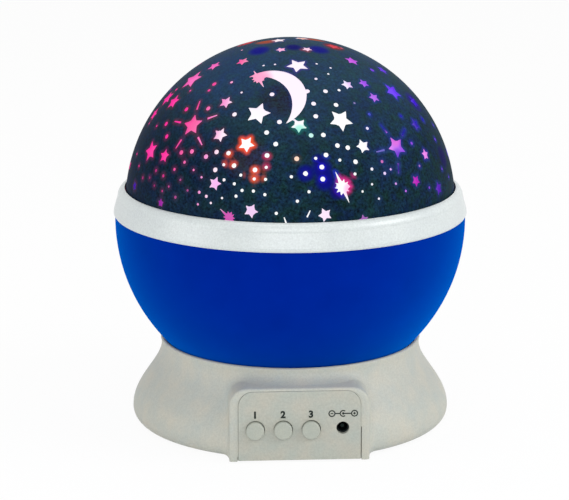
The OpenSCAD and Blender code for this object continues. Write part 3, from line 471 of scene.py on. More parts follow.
DOME_RADIUS = 60.66 * MM
DOME_WALL = 0.6 * MM
DOME_CENTRE = Vector((0, 0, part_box("star_dome")[1][2] - DOME_RADIUS))
DOME_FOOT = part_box("star_dome")[0][2] - DOME_CENTRE.z
STAR_TIPS, BURST_TIPS = 5, 10
STAR_WAIST = 0.5                        # inner radius of a star as a part of its tip
BURST_TIP, BURST_WAIST = 0.48, 0.27     # short tips and waists of a burst, as parts of its long tips
RAY_WIDTH, RAY_LENGTH = 0.15, 0.9       # of a ray, as parts of its star's tip
RAY_PLACE = 2.0                         # middle of a ray from the middle of its star, in tips
DOT_SIZES = (0.73, 0.47, 0.34)          # half-widths of the round windows, in degrees
CIRCLE_SIDES = 48
OUTER_BALL, INNER_BALL = (288, 200), (144, 96)      # segments and rings of the dome's two faces
BAR_RISE = 2 * MM                       # how far the bars that punch the windows stand out of the dome
BAR_SPARE = 0.5 * MM                    # how far they reach past its inner face
MOON_SPARE = 1                          # degrees past the moon's tip that the bars are deep enough for
CUT_SIDE = 3.0                          # side of the block that cuts the dome off, in radii of the dome

FROST = 0.4 * MM
FILM_GRAIN = 0.9 * MM                   # a print's own dots are finer, and are drawn coarser to show
FILM_DARKEST, FILM_LIGHTEST = 0.2, 1.9  # shares of the film's colour that its grain makes
# Clouds in the film: size in millimetres, two colours and contrast.
FILM_SHADES = (16.0, "#081c24", "#122b3a", 1.4)
FILM_HUES = (4.5, "#122e20", "#10204c", 1.8)
FILM_LEFT = (23.0, "#061830", "#121e34", 1.4)
FILM_HUE_SHARE = 0.4
LEFT_START, LEFT_END = 0.2, 0.9         # where the left side's clouds come in, in radii of the dome
LEFT_SHARE = 0.7                        # the most that there is of them
SOAKED_FILM = "#04060a"                 # the film's own colour where light soaks through it
HALO_PLAIN = "#0c1820"
HALO_REACH = 1.9 * MM                   # how far light creeps out round a window
CUT_EDGE = 0.07 * MM                    # nearer to a window than this is the film's cut edge
SPOT_CORE = 0.25                        # part of a spot's reach that has its full colour

# Colour of the lamp's light at a bearing from the front, in degrees.
LAMP_COLOURS = [
    (-88, "#ff2f9c"), (-56, "#ff3099"), (-48, "#f25a9e"), (-41, "#ff7cc0"), (-36, "#f59ad4"),
    (-32, "#ffe2f2"), (-25, "#ffffff"), (25, "#ffffff"), (31, "#efe2ff"), (38, "#dc80f0"),
    (44, "#a050e8"), (55, "#9048e0"), (88, "#6a38e0"),
]
# Spots of other colours: bearing, height and reach in degrees, and colour. These are in the windows,
# then in the light that creeps out round them, in the film's own glow and where light soaks through it.
WINDOW_SPOTS = [
    (-8, 56, 22, "#fcecfc"), (0, 88, 24, "#fff0f2"), (-16, 77, 4, "#ffb4dc"), (23, 76, 4, "#ffd0e8"),
    (-33, 82.4, 5, "#e8a088"), (73, 74.6, 6, "#dc4c58"), (-74, 57, 13, "#f268b8"),
    (-62, 10, 14, "#9c2c6c"), (-45, 14, 8, "#a84888"), (52, 40, 9, "#2a1cb4"), (66, 34, 10, "#2418a8"),
    (60, 47, 6, "#6a34f0"), (56, 65, 5, "#c858e0"), (72, 40.7, 4, "#3c1cd0"), (38.1, 36.4, 4, "#20209c"),
    (48.4, 33.1, 4, "#201a98"), (34.5, 40.6, 2.5, "#4850c8"), (29.3, 45.5, 2.5, "#8c80b8"),
    (43, 47.5, 5, "#b468e8"), (41, 25, 3.4, "#7838d4"), (46, 15, 5, "#b818b4"), (56, 23, 4, "#ea84ea"),
    (50, 22, 4, "#b070c0"), (59, 10, 6, "#5a14b0"), (0.6, 37.4, 2.6, "#a8f0dc"), (5, 35, 3, "#c4f2e8"),
    (33, 28, 3.5, "#6c62c0"), (40, 20.5, 3.5, "#34188c"), (32, 24, 2.5, "#d070b8"), (-1, 27, 2, "#ffd8c0"),
    (-26, 26, 3, "#ffe4d0"), (-24.5, 58.5, 6, "#ffa0c8"), (-30, 57, 5, "#ff9cc4"), (18, 16, 3.4, "#ffc0e6"),
    (10.5, 17.5, 3, "#c4c8ff"), (-24, 7, 5.5, "#cc50ac"), (-16, 9.7, 4, "#ecc8ee"), (8.8, 8.4, 4, "#f6e0f6"),
    (-30, 17.5, 3, "#f4b4ee"), (21.6, 5.6, 4, "#a060b0"), (42, 30.5, 3, "#d868dc"), (-73, 10, 6, "#44189c"),
    (-53, 8, 4, "#9c209c"),
]
HALO_SPOTS = [
    (-65, 35, 36, "#50082e"), (62, 35, 36, "#1e127c"), (-20.5, 31.5, 6, "#ff5210"), (-25.5, 26, 4, "#d84818"),
    (-16, 21.5, 4.5, "#e85018"), (-12, 26, 4, "#b42450"), (8, 22, 7.5, "#1812c0"),
    (16.5, 18.2, 4.6, "#e41c84"), (0.6, 38, 5, "#0a5c50"), (-1, 27, 3, "#3a2c2c"), (2.5, 65.5, 8, "#402080"),
    (-8, 50, 8, "#201848"), (0, 80, 16, "#2c186c"), (11, 74, 5, "#843020"), (73, 74.6, 5, "#a02c38"),
    (12.5, 15, 4, "#3010a8"),
]
FIELD_SPOTS = [
    (0, 80, 62, "#1e2c3c"), (-20, 27, 9, "#240c0c"), (-8, 49, 9, "#1c0c16"), (-50, 62, 20, "#1c2c48")]
SOAKED_SPOTS = [
    (2.1, 22.1, 3.5, "#020280"), (8, 23.5, 4.2, "#020280"), (8.8, 19.5, 4.2, "#020280"),
    (6.9, 26.6, 2.4, "#020270"), (12.7, 15.5, 3.2, "#08046c"), (-46.6, 74.3, 4.6, "#00007c"),
    (2.4, 79, 3.6, "#000064"), (38.4, 75.3, 4.4, "#00047c"), (71, 19.4, 5, "#0a0850"),
    (72.4, 40.7, 5, "#1c1078"), (-86, 82, 5, "#a04428"), (73, 74.6, 4.5, "#702028")]

# Windows on the front half, in degrees: bearing from the front, height, tip from the middle, turn.
STARS = [
    (-18, 43, 4.1, -11), (19, 40, 4.1, 32), (-48, 36, 3.9, 16), (2.5, 65.5, 3.7, 24),
    (41, 28, 3.7, 19), (-67, 23.5, 3.6, 27), (-74, 52, 4.3, 20), (-20.5, 31.5, 2.7, -24),
    (0.3, 38.7, 2.6, 32), (-32.5, 34, 2.5, -14), (-16.5, 9.5, 2.35, -25), (60, 47.3, 3.6, 10),
    (25.5, 30, 2.4, 14), (-36, 46.3, 2.3, -9), (-30.3, 17.5, 2.25, -14), (8.2, 8.3, 2.25, 24),
    (-56.6, 23.5, 2.3, 4), (31, 54, 2.1, 7), (42.4, 47, 2, 4), (55.5, 64.8, 2.5, 30),
    (-71.5, 42, 2.8, 15), (-82, 41.8, 3, 40),
    (-47, 66, 2.2, 0), (43, 53.5, 1.9, 3), (22, 76.5, 1.7, 20), (-17, 76.5, 1.7, 35), (72.5, 40.7, 2.5, 0),
    (56, 23, 1.9, -6), (59.5, 10.5, 2.2, 12), (46, 15.5, 1.9, 30), (-84, 34.5, 2.4, 0), (-73, 10, 1.6, 20),
    (76, 56, 2.1, 10), (-53, 8, 1.4, 0), (84, 18, 2.1, 15), (-88, 14, 1.7, 30),
    (21.6, 5.6, 1.8, 10), (-69.5, 60.5, 2.4, 12),
    (59, 33.7, 2.1, 8), (-66, 85.5, 2.5, 0), (73, 74.6, 2.2, 30),
]
BURSTS = [(14.8, 17, 5.5, 20), (-23.7, 58, 4.8, 38), (-24, 6.8, 4.2, 52)]
MOON = (-14.4, 50, 12.3, 219)
MOON_BITE, MOON_SHIFT = 1.125, 0.57     # radius and place of the circle that hollows the moon
SPARKS = [(2.7, 8.8, 2.6, -26), (-5, 6.6, 2.6, 20)]
RAYED = {2: range(5), 4: (0, 1, 2, 4)}  # places in STARS of the stars with rays, and which they have
LARGE_DOTS = [
    (-65, 34), (-60, 30), (-57, 41), (-51, 53), (-48, 26), (-44, 43), (-43, 27), (-36, 26), (-32, 28),
    (-31, 22), (-29, 42), (-27, 28), (-24, 24), (-16, 23), (-13, 36), (-13, 51), (-12, 28), (-9, 32),
    (-8, 40), (-1, 27), (2, 22), (5, 35), (6, 52.4), (8, 20), (8, 24), (8, 42), (8, 47), (10, 28),
    (10, 35), (15, 31), (16, 52), (19, 30), (19, 46), (21, 25), (68, 34), (63, 58),
]
MIDDLE_DOTS = [
    (-67, 14), (-59, 18), (-54, 17), (-51, 50), (-49, 20), (-46, 11), (-45, 23), (-40, 55), (-36, 14),
    (-33, 13), (-27, 19), (-28, 24), (-23, 18), (-22, 14), (-21, 21), (-20, 16), (-16, 16), (-16, 20),
    (-12, 15), (-12, 20), (-12, 24), (-8, 9), (-3, 21), (-1, 13), (3, 16), (6, 27), (13, 58), (15, 26),
    (20, 21), (24, 52), (27, 22), (30, 36), (32, 20), (32, 24), (34, 41), (50, 28), (52, 38), (70, 26),
    (-81, 46), (79, 72),
]
SMALL_DOTS = [
    (-83, 31), (-80, 20), (-73, 17), (-72, 32), (-65, 48), (-62, 15), (-58, 13), (-53, 12),
    (-50, 14), (-45, 17), (-41, 14), (-40, 21), (-36, 10), (-36, 19), (-31, 11), (-30, 51), (-27, 13),
    (-25, 65), (-16, 66), (19, 66), (22, 15), (23, 60), (26, 17), (28, 63), (28, 12), (29, 46),
    (36, 16), (35, 21), (40, 13), (50, 20), (53, 12), (66, 16), (72, 12), (78, 30), (88, 44), (-72, 72),
]
STAR, BURST, CRESCENT, DOT, RAY = range(5)
WINDOW_DATA = {"kind": "INT", "tip": "FLOAT", "aim": "FLOAT_VECTOR"}   # what each window's point holds


def dome_frame(bearing, height, turn=0):
    """Axes of a window on the dome: X to the right, Y up the dome and Z out of it."""
    return (Matrix.Rotation(math.radians(bearing), 3, "Z")
            @ Matrix.Rotation(math.radians(90 - height), 3, "X")
            @ Matrix.Rotation(math.radians(turn), 3, "Z"))


def dome_arc(degrees):
    """Length of an angle on the dome."""
    return DOME_RADIUS * math.radians(degrees)


def front_windows():
    """Each window of the front half: its kind, its axes, how far up them it stands, and its tip."""
    windows = []
    for kind, group in ((STAR, STARS), (BURST, BURSTS), (CRESCENT, [MOON]), (RAY, SPARKS)):
        for bearing, height, tip, turn in group:
            windows.append((kind, dome_frame(bearing, height, turn), 0.0, dome_arc(tip)))
    for group, size in zip((LARGE_DOTS, MIDDLE_DOTS, SMALL_DOTS), DOT_SIZES):
        windows += [(DOT, dome_frame(*place), 0.0, dome_arc(size)) for place in group]
    for star, rays in RAYED.items():
        bearing, height, tip, turn = STARS[star]
        for i in rays:
            axes = dome_frame(bearing, height, turn + i * 360 / STAR_TIPS)
            windows.append((RAY, axes, RAY_PLACE * dome_arc(tip), dome_arc(tip)))
    return windows


def window_places():
    """A mesh of points, one for each window, with its kind, its tip in metres and the way it is turned."""
    points, kinds, tips, aims = [], [], [], []
    for side in (0, math.pi):
        for kind, axes, along, tip in front_windows():
            turned = Matrix.Rotation(side, 3, "Z") @ axes
            points.append(DOME_CENTRE + turned @ Vector((0, along, DOME_RADIUS)))
            kinds.append(kind)
            tips.append(tip)
            aims += turned.to_euler()
    mesh = bpy.data.meshes.new("window_places")
    mesh.from_pydata(points, [], [])
    for name, values in (("kind", kinds), ("tip", tips), ("aim", aims)):
        filled = mesh.attributes.new(name, WINDOW_DATA[name], "POINT").data
        filled.foreach_set("vector" if name == "aim" else "value", values)
    return mesh


def window_bars(tree, depth):
    """The bars that punch each kind of window, upright, with their tips at one unit from the middle."""
    low = add(tree, "ShaderNodeMath", {0: depth, 1: -1.0}, operation="MULTIPLY")
    start = add(tree, "ShaderNodeCombineXYZ", {"Z": low})
    line = add(tree, "GeometryNodeCurvePrimitiveLine", {"Start": start, "End": (0, 0, BAR_RISE)})

    def bar(outline):
        """A closed bar with this outline, from the punch depth below the dome to a little above it."""
        return add(tree, "GeometryNodeCurveToMesh",
                   {"Curve": line, "Profile Curve": outline, "Fill Caps": True})

    def star(points, waist, tip):
        """A star whose first tip points up."""
        made = add(tree, "GeometryNodeCurveStar",
                   {"Points": points, "Inner Radius": waist, "Outer Radius": tip})
        return add(tree, "GeometryNodeTransform", {"Geometry": made, "Rotation": (0, 0, math.pi / 2)})

    ray = add(tree, "GeometryNodeCurvePrimitiveQuadrilateral",
              {"Height": RAY_LENGTH, "Bottom Width": RAY_WIDTH, "Top Width": RAY_WIDTH / 2, "Offset": 0.0},
              mode="TRAPEZOID")
    long_tips = add(tree, "GeometryNodeCurvePrimitiveQuadrilateral",
                    {"Width": BURST_WAIST, "Top Height": 1.0, "Bottom Height": 1.0}, mode="KITE")
    disc, bite = (add(tree, "GeometryNodeCurvePrimitiveCircle",
                      {"Resolution": CIRCLE_SIDES, "Radius": radius}) for radius in (1.0, MOON_BITE))
    bite = add(tree, "GeometryNodeTransform", {"Geometry": bar(bite), "Translation": (MOON_SHIFT, 0, 0)})
    crescent = add(tree, "GeometryNodeMeshBoolean", {"Mesh 1": bar(disc), "Mesh 2": bite},
                   operation="DIFFERENCE", solver="MANIFOLD")
    return {
        STAR: [bar(star(STAR_TIPS, STAR_WAIST, 1.0))],
        BURST: [bar(star(BURST_TIPS, BURST_WAIST, BURST_TIP)), bar(long_tips)],
        CRESCENT: [crescent],
        DOT: [bar(disc)],
        RAY: [bar(ray)],
    }


def window_copies(tree, places, bars):
    """Each kind's bars at the points of that kind, turned and scaled as the points say."""
    kind, tip, aim = (add(tree, "GeometryNodeInputNamedAttribute", {"Name": name}, data_type=data)
                      for name, data in WINDOW_DATA.items())
    turn = add(tree, "FunctionNodeEulerToRotation", {0: aim})
    scale = add(tree, "ShaderNodeCombineXYZ", {"X": tip, "Y": tip, "Z": 1.0})
    copies = []
    for number, group in bars.items():
        same = add(tree, "FunctionNodeCompare", {"A": kind, "B": number},
                   data_type="INT", operation="EQUAL")
        for bar in group:
            copies.append(add(tree, "GeometryNodeInstanceOnPoints", {
                "Points": places, "Selection": same, "Instance": bar, "Rotation": turn, "Scale": scale}))
    return copies


def dome_bodies(tree, size):
    """The dome's outer ball, then the ball that hollows it and the block that cuts it off at its foot."""
    centre = add(tree, "ShaderNodeCombineXYZ", {"Z": size["Centre height"]})
    hollow = add(tree, "ShaderNodeMath", {0: size["Radius"], 1: size["Wall"]}, operation="SUBTRACT")
    balls = []
    for radius, (segments, rings) in ((size["Radius"], OUTER_BALL), (hollow, INNER_BALL)):
        ball = add(tree, "GeometryNodeMeshUVSphere",
                   {"Segments": segments, "Rings": rings, "Radius": radius})
        balls.append(add(tree, "GeometryNodeTransform", {"Geometry": ball, "Translation": centre}))
    side = add(tree, "ShaderNodeMath", {0: size["Radius"], 1: CUT_SIDE}, operation="MULTIPLY")
    sides = add(tree, "ShaderNodeCombineXYZ", {"X": side, "Y": side, "Z": side})
    block = add(tree, "GeometryNodeMeshCube", {"Size": sides})
    foot = add(tree, "ShaderNodeMath", {0: size["Centre height"], 1: size["Foot"]}, operation="ADD")
    half = add(tree, "ShaderNodeMath", {0: side, 1: 0.5}, operation="MULTIPLY")
    low = add(tree, "ShaderNodeMath", {0: foot, 1: half}, operation="SUBTRACT")
    down = add(tree, "ShaderNodeCombineXYZ", {"Z": low})
    below = add(tree, "GeometryNodeTransform", {"Geometry": block, "Translation": down})
    return balls + [below]


def punched_dome_tree():
    """Grows a thin dome over points and punches a window through it at each of them. Each point of the
    dome keeps its distance from the nearest window."""
    tree = bpy.data.node_groups.new("punched_dome", "GeometryNodeTree")
    tree.interface.new_socket("Places", in_out="INPUT", socket_type="NodeSocketGeometry")
    for name in ("Radius", "Wall", "Centre height", "Foot", "Punch depth"):
        tree.interface.new_socket(name, in_out="INPUT", socket_type="NodeSocketFloat")
    tree.interface.new_socket("Film", in_out="INPUT", socket_type="NodeSocketMaterial")
    tree.interface.new_socket("Dome", in_out="OUTPUT", socket_type="NodeSocketGeometry")
    size = add(tree, "NodeGroupInput").outputs
    windows = window_copies(tree, size["Places"], window_bars(tree, size["Punch depth"]))
    outer, inner, below = dome_bodies(tree, size)
    shell = add(tree, "GeometryNodeMeshBoolean", {"Mesh 1": outer, "Mesh 2": [inner, below] + windows},
                operation="DIFFERENCE", solver="MANIFOLD")

    everything = add(tree, "GeometryNodeJoinGeometry", {0: windows})
    bars = add(tree, "GeometryNodeRealizeInstances", {0: everything})
    near = add(tree, "GeometryNodeProximity", {0: bars}, target_element="FACES").outputs["Distance"]
    marked = add(tree, "GeometryNodeStoreNamedAttribute",
                 {"Geometry": shell, "Name": "window_distance", "Value": near},
                 data_type="FLOAT", domain="POINT")
    whole = add(tree, "GeometryNodeRealizeInstances", {0: marked})
    done = add(tree, "GeometryNodeSetMaterial", {"Geometry": whole, "Material": size["Film"]})
    add(tree, "NodeGroupOutput", {"Dome": done})
    return tree


def make_star_dome(materials):
    """The dark dome with every window cut through it."""
    widest = math.radians(MOON[2] + MOON_SPARE)
    depth = DOME_WALL + DOME_RADIUS * (1 - math.cos(widest)) + BAR_SPARE
    mesh = grown("star_dome_punched", punched_dome_tree(), window_places(), {
        "Radius": DOME_RADIUS, "Wall": DOME_WALL, "Centre height": DOME_CENTRE.z, "Foot": DOME_FOOT,
        "Punch depth": depth, "Film": materials["dome_black"]})
    place_mesh("star_dome_punched", mesh, "dome", materials["dome_black"], ["star_dome"])


# ---------------------------------------------------------------- base

def corners_of(node):
    """Lowest and highest corner of a node's box, in millimetres to a hundredth."""
    return [[round(along / MM, 2) for along in corner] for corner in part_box(node)]


# The base's own sizes are in millimetres.
SHELL_LOW, SHELL_HIGH = corners_of("base_shell")
PLATE_LOW, PLATE_HIGH = corners_of("control_panel")
BASE_TOP = SHELL_HIGH[2]
FLARE_RADIUS = SHELL_HIGH[0]
FLARE_HEIGHT = 5.0                      # height at which the flare is widest
SHELL_FOOT = 1.0
EDGE_TUCK = 3.3                         # how far the flare draws in below its widest place
RIM_RADIUS, RIM_WALL = 48.23, 1.0
RIM_ROUND = 0.7                         # rounding of the rim's outer edge, which catches the light
NECK_IN, NECK_DROP = 0.35, 2.4          # how far the neck is drawn in, and its depth under the rim
WALL = 2.0
PANEL_WIDTH = PLATE_HIGH[0] - PLATE_LOW[0]
PANEL_LOW, PANEL_TOP = PLATE_LOW[2], PLATE_HIGH[2]
PANEL_FRONT, BOARD_FRONT = -PLATE_LOW[1], -PLATE_HIGH[1]
PANEL_DEPTH, PANEL_CORNER, PANEL_EDGE = 1.9, 5.3, 0.15
PANEL_LEDGE = 1.4                       # width of the seat that the panel lies on
BLOCK_SIDE, BLOCK_BORDER = 3.2, 1.0     # of the block beside the panel, and above it
BLOCK_WIDTH = PANEL_WIDTH + 2 * BLOCK_SIDE
BLOCK_TOP = PANEL_TOP + BLOCK_BORDER
BLOCK_FRONT, BLOCK_FOOT = -SHELL_LOW[1], SHELL_LOW[2]
BLOCK_BACK = 38.0                       # the block ends inside the flare
BLOCK_CORNER, BLOCK_EDGE = 6.5, 1.2     # rounding of its upper corners, and of its front edges
FRONT_BLEND = 0.5                       # softening where the block's front cuts the flare
FILLET = 2.6                            # between the block and the flare
SWEEP_RADIUS, SWEEP_LIP = 9.0, 1.7      # hollow sweep from the block's flat top up to the flare
SWEEP_END = 7.0                         # how softly the sweep runs out at its ends
SEAM = 0.07                             # round the panel
OPEN_SEAM = 0.35                        # where the panel's sides stand off, up to these heights
OPEN_SEAM_TOPS = {1: 12.8, -1: 2.3}     # on the right and on the left
OPENING_TOP, OPENING_CORNER = 21.4, 2.0
BUTTON_RADIUS, BUTTON_GAP = 3.2, 0.2
BUTTON_LEAN = 0.098, 0.14               # holes stand this far to the right of the buttons and above
JACK_HOLE = 2.3
STAND_RADIUS, STAND_SCREW = 2.3, 1.0    # of the stands behind the panel, and of the holes in them
STAND_X, STAND_Z = 17.7, 18.6
STAND_SUNK = 0.1                        # into the panel
SCREW_DEPTH = 5.0
PAST = 1.0                              # how far a body that cuts reaches past what it cuts

SLOPE_STEP, STEEPEST = 0.1, 2.0         # for the flare's slope: height step, and the most that counts
PIVOT_RADIUS, PIVOT_Z = 38.0, 11.0      # inside the wall: the upper rays all start here
LEVEL_ROWS, SWEPT_ROWS, RIM_ROWS = 22, 71, 6
WALL_ROWS = slice(2, None, 4)           # the rows that the inner wall has
SIDE_START, SIDE_END = 22, 33           # bearings between which the block's sides stand, in degrees
BEARINGS = 23, 59, 83                   # how many before, between and after those
FARTHEST, HALVINGS = 75.0, 30           # length of a ray, and how often it is halved
CORNER_POINTS = 13                      # on a bar's round corner
ROUND_STEP = 7.5                        # degrees between the points of a round bar


def flare_radius(z):
    """Outer radius of the flare at a height: a tucked foot, a sweep up to the neck and a thin rim."""
    neck = RIM_RADIUS - NECK_IN
    neck_z = BASE_TOP - NECK_DROP
    tuck = np.sqrt(np.clip(1 - ((FLARE_HEIGHT - z) / (FLARE_HEIGHT - SHELL_FOOT)) ** 2, 0, 1))
    low = FLARE_RADIUS - EDGE_TUCK * (1 - tuck)
    sweep = np.clip((z - FLARE_HEIGHT) / (neck_z - FLARE_HEIGHT), 0, 1)
    high = neck + (FLARE_RADIUS - neck) * (1 + np.cos(math.pi * sweep)) / 2
    rim = neck + NECK_IN * np.clip((z - neck_z) / (BASE_TOP - RIM_ROUND - neck_z), 0, 1) ** 2
    edge = np.clip((z - BASE_TOP + RIM_ROUND) / RIM_ROUND, 0, 1)
    rim = rim - RIM_ROUND * (1 - np.sqrt(1 - edge ** 2))
    return np.where(z < FLARE_HEIGHT, low, np.where(z < neck_z, high, rim))


def joined(a, b, blend):
    """Distance to two bodies run together with a fillet of about this size."""
    share = np.clip(0.5 + 0.5 * (b - a) / blend, 0, 1)
    return b * (1 - share) + a * share - blend * share * (1 - share)


def rounded_corner(a, b, radius):
    """Distance to the space in which both distances are below zero, with its edge rounded."""
    a, b = a + radius, b + radius
    return np.hypot(np.maximum(a, 0), np.maximum(b, 0)) + np.minimum(np.maximum(a, b), 0) - radius


def base_distance(x, y, z, wall):
    """About the distance in millimetres from the base's skin or inner wall, and below zero inside it."""
    radius, across, ahead = np.hypot(x, y), np.abs(x) - BLOCK_WIDTH / 2, -y - BLOCK_FRONT
    slope = (flare_radius(z + SLOPE_STEP) - flare_radius(z - SLOPE_STEP)) / (2 * SLOPE_STEP)
    flare = (radius - flare_radius(z)) / np.sqrt(1 + np.minimum(slope ** 2, STEEPEST ** 2))
    arch = rounded_corner(across, z - BLOCK_TOP, BLOCK_CORNER)
    block = np.maximum(rounded_corner(arch, ahead, BLOCK_EDGE), y + BLOCK_BACK)
    high_arch = rounded_corner(across, z - BASE_TOP, BLOCK_CORNER + BASE_TOP - BLOCK_TOP)
    reach = radius - BLOCK_FRONT + SWEEP_LIP
    sweep = SWEEP_RADIUS - np.hypot(reach, z - BLOCK_TOP - SWEEP_RADIUS)
    sweep = -joined(-np.maximum(sweep, reach), -high_arch, SWEEP_END)
    sweep = np.maximum(sweep, y + BLOCK_BACK)
    solid = joined(flare, np.minimum(block, sweep), FILLET)
    in_front = np.minimum(-arch, ahead)
    return -joined(-solid, -in_front, FRONT_BLEND) + wall


def base_rows():
    """Rays in the plane of a bearing, as start (radius, height) and slope, from the foot to the rim."""
    rows = [(0.0, z, 0.0) for z in np.linspace(SHELL_FOOT, PIVOT_Z, LEVEL_ROWS)]
    turn = math.atan2(BASE_TOP - RIM_ROUND - PIVOT_Z, RIM_RADIUS - PIVOT_RADIUS)
    top = math.atan2(BASE_TOP - PIVOT_Z, RIM_RADIUS - RIM_ROUND - PIVOT_RADIUS)
    for start, end, count in ((0, turn, SWEPT_ROWS), (turn, top, RIM_ROWS)):
        rows += [(PIVOT_RADIUS, PIVOT_Z, slope) for slope in np.linspace(start, end, count + 1)[1:]]
    return np.array(rows)


def base_bearings():
    """Bearings round the base from its back, close together where the block's sides stand."""
    ends = 0, SIDE_START, SIDE_END, 180
    parts = [np.linspace(*part, endpoint=False) for part in zip(ends, ends[1:], BEARINGS)]
    half = np.concatenate(parts)
    return np.radians(np.concatenate([[-180], -half[:0:-1], half]))


def base_points(bearings, rows, wall):
    """Where the rays of each bearing leave the base's skin, found by halving."""
    start_r, start_z, slope = (rows[:, i][:, None] for i in range(3))
    size = len(rows), len(bearings)
    low, high = np.zeros(size), np.full(size, FARTHEST)
    for _ in range(HALVINGS):
        middle = (low + high) / 2
        r, z = start_r + middle * np.cos(slope), start_z + middle * np.sin(slope)
        out = base_distance(r * np.sin(bearings), -r * np.cos(bearings), z, wall) > 0
        low, high = np.where(out, low, middle), np.where(out, middle, high)
    r, z = start_r + low * np.cos(slope), start_z + low * np.sin(slope)
    return np.stack([r * np.sin(bearings), -r * np.cos(bearings), z], axis=-1)


def turned_in(ring, radius, z):
    """The same bearings as a ring of points, at one radius and height."""
    reach = np.hypot(ring[:, 0], ring[:, 1])
    level = np.full(len(ring), z)
    return np.stack([ring[:, 0] * radius / reach, ring[:, 1] * radius / reach, level], axis=-1)


def lofted(name, rings):
    """A closed body between rings of points that run anticlockwise as seen from the front."""
    count = len(rings[0])
    faces = [tuple(range(count)), tuple(range(len(rings) * count - 1, (len(rings) - 1) * count - 1, -1))]
    for start in range(0, (len(rings) - 1) * count, count):
        faces += [(start + i, start + i + count, start + (i + 1) % count + count, start + (i + 1) % count)
                  for i in range(count)]
    mesh = bpy.data.meshes.new(name)
    mesh.from_pydata([point for ring in rings for point in ring], [], faces)
    return mesh


def arched_bar(name, width, low, top, corner, front, back, middle=0.0, edge=0.0):
    """A bar from front to back with round upper corners and, where edge is set, a chamfered front."""
    turns = np.radians(np.linspace(0, 90, CORNER_POINTS))
    steps = [(0.0, front + edge), (0.0, back)]
    if edge:
        steps.insert(0, (edge, front))
    rings = []
    for inset, y in steps:
        bend = corner - inset
        right = [(width / 2 - inset, low + inset)]
        right += [(width / 2 - corner + bend * math.cos(a), top - corner + bend * math.sin(a)) for a in turns]
        outline = right + [(-x, z) for x, z in right[::-1]]
        rings.append([((x + middle) * MM, y * MM, z * MM) for x, z in outline])
    return lofted(name, rings)


def round_bar(name, x, z, radius, front, back):
    """A round bar from front to back."""
    turns = np.radians(np.arange(0, 360, ROUND_STEP))
    outline = [(x + radius * math.cos(a), z + radius * math.sin(a)) for a in turns]
    return lofted(name, [[(across * MM, y * MM, up * MM) for across, up in outline] for y in (front, back)])


def combined(mesh, others, operation):
    """The mesh without the space of the others, or run together with them."""
    holder = put(mesh.name, mesh)
    tools = [put(other.name, other) for other in others]
    for tool in tools:
        modifier = holder.modifiers.new(tool.name, "BOOLEAN")
        modifier.operation = operation
        modifier.solver = "MANIFOLD"
        modifier.object = tool
    result = finished(holder)
    for tool in tools:
        bpy.data.objects.remove(tool)
    return result


def base_skin():
    """The closed shell of the base, from rays at each bearing: skin, rim, inner wall and foot."""
    bearings, rows = base_bearings(), base_rows()
    outer = base_points(bearings, rows, 0.0)
    inner = base_points(bearings, rows[WALL_ROWS], WALL)
    outer[0][:, 2] = np.where(-outer[0][:, 1] > BLOCK_FRONT - 1, BLOCK_FOOT, SHELL_FOOT)
    foot = inner[0].copy()
    foot[:, 2] = outer[0][:, 2]
    rim = turned_in(outer[-1], RIM_RADIUS - RIM_WALL, BASE_TOP)
    rings = list(outer) + [rim] + list(inner[::-1]) + [foot]
    columns, count = len(bearings), len(rings)
    faces = [(i * columns + j, i * columns + (j + 1) % columns,
              (i + 1) % count * columns + (j + 1) % columns, (i + 1) % count * columns + j)
             for i in range(count) for j in range(columns)]
    mesh = bpy.data.meshes.new("base_shell_skin")
    mesh.from_pydata((np.concatenate(rings) * MM).tolist(), [], faces)
    return mesh


def make_base_shell(materials):
    """The base with the panel's seat, the opening behind it and the seams where its sides stand off."""
    front, back = -PANEL_FRONT - PAST, PANEL_DEPTH - PANEL_FRONT
    seat = arched_bar("panel_seat", PANEL_WIDTH + 2 * SEAM, -PAST, PANEL_TOP + SEAM, PANEL_CORNER,
                      front, back)
    opening = arched_bar("panel_opening", PANEL_WIDTH - 2 * PANEL_LEDGE, -PAST, OPENING_TOP, OPENING_CORNER,
                         front, 4 * WALL - PANEL_FRONT)
    seams = [arched_bar("open_seam", 2 * OPEN_SEAM, -PAST, top, OPEN_SEAM / 2, front, back,
                        middle=side * PANEL_WIDTH / 2) for side, top in OPEN_SEAM_TOPS.items()]
    mesh = combined(base_skin(), [seat, opening] + seams, "DIFFERENCE")
    place_mesh("base_shell_skin", mesh, "base", materials["base_white"], ["base_shell"],
               sharp=50)


def middle_of(node):
    """Middle of a node's box in millimetres."""
    low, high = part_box(node)
    return (Vector(low) + Vector(high)) / (2 * MM)


def make_control_panel(materials):
    """The panel with its holes, and the two stands behind it that carry the board."""
    front, back = -PANEL_FRONT - PAST, PANEL_DEPTH - PANEL_FRONT
    plate = arched_bar("control_panel_skin", PANEL_WIDTH, PANEL_LOW, PANEL_TOP, PANEL_CORNER,
                       -PANEL_FRONT, back, edge=PANEL_EDGE)
    stands, holes = [], []
    for x in (-STAND_X, STAND_X):
        stands.append(round_bar("stand", x, STAND_Z, STAND_RADIUS, back - STAND_SUNK, -BOARD_FRONT))
        holes.append(round_bar("stand_hole", x, STAND_Z, STAND_SCREW, -BOARD_FRONT - SCREW_DEPTH,
                               PAST - BOARD_FRONT))
    for node in ("button_1", "button_2", "button_3"):
        at = middle_of(node)
        holes.append(round_bar("button_hole", at.x + BUTTON_LEAN[0], at.z + BUTTON_LEAN[1],
                               BUTTON_RADIUS + BUTTON_GAP, front, back + PAST))
    at = middle_of("jack_pin")
    holes.append(round_bar("jack_hole", at.x, at.z, JACK_HOLE, front, back + PAST))
    mesh = combined(combined(plate, stands, "UNION"), holes, "DIFFERENCE")
    place_mesh("control_panel_skin", mesh, "base", materials["panel_white"], ["control_panel"],
               sharp=40)


# ---------------------------------------------------------------- labels

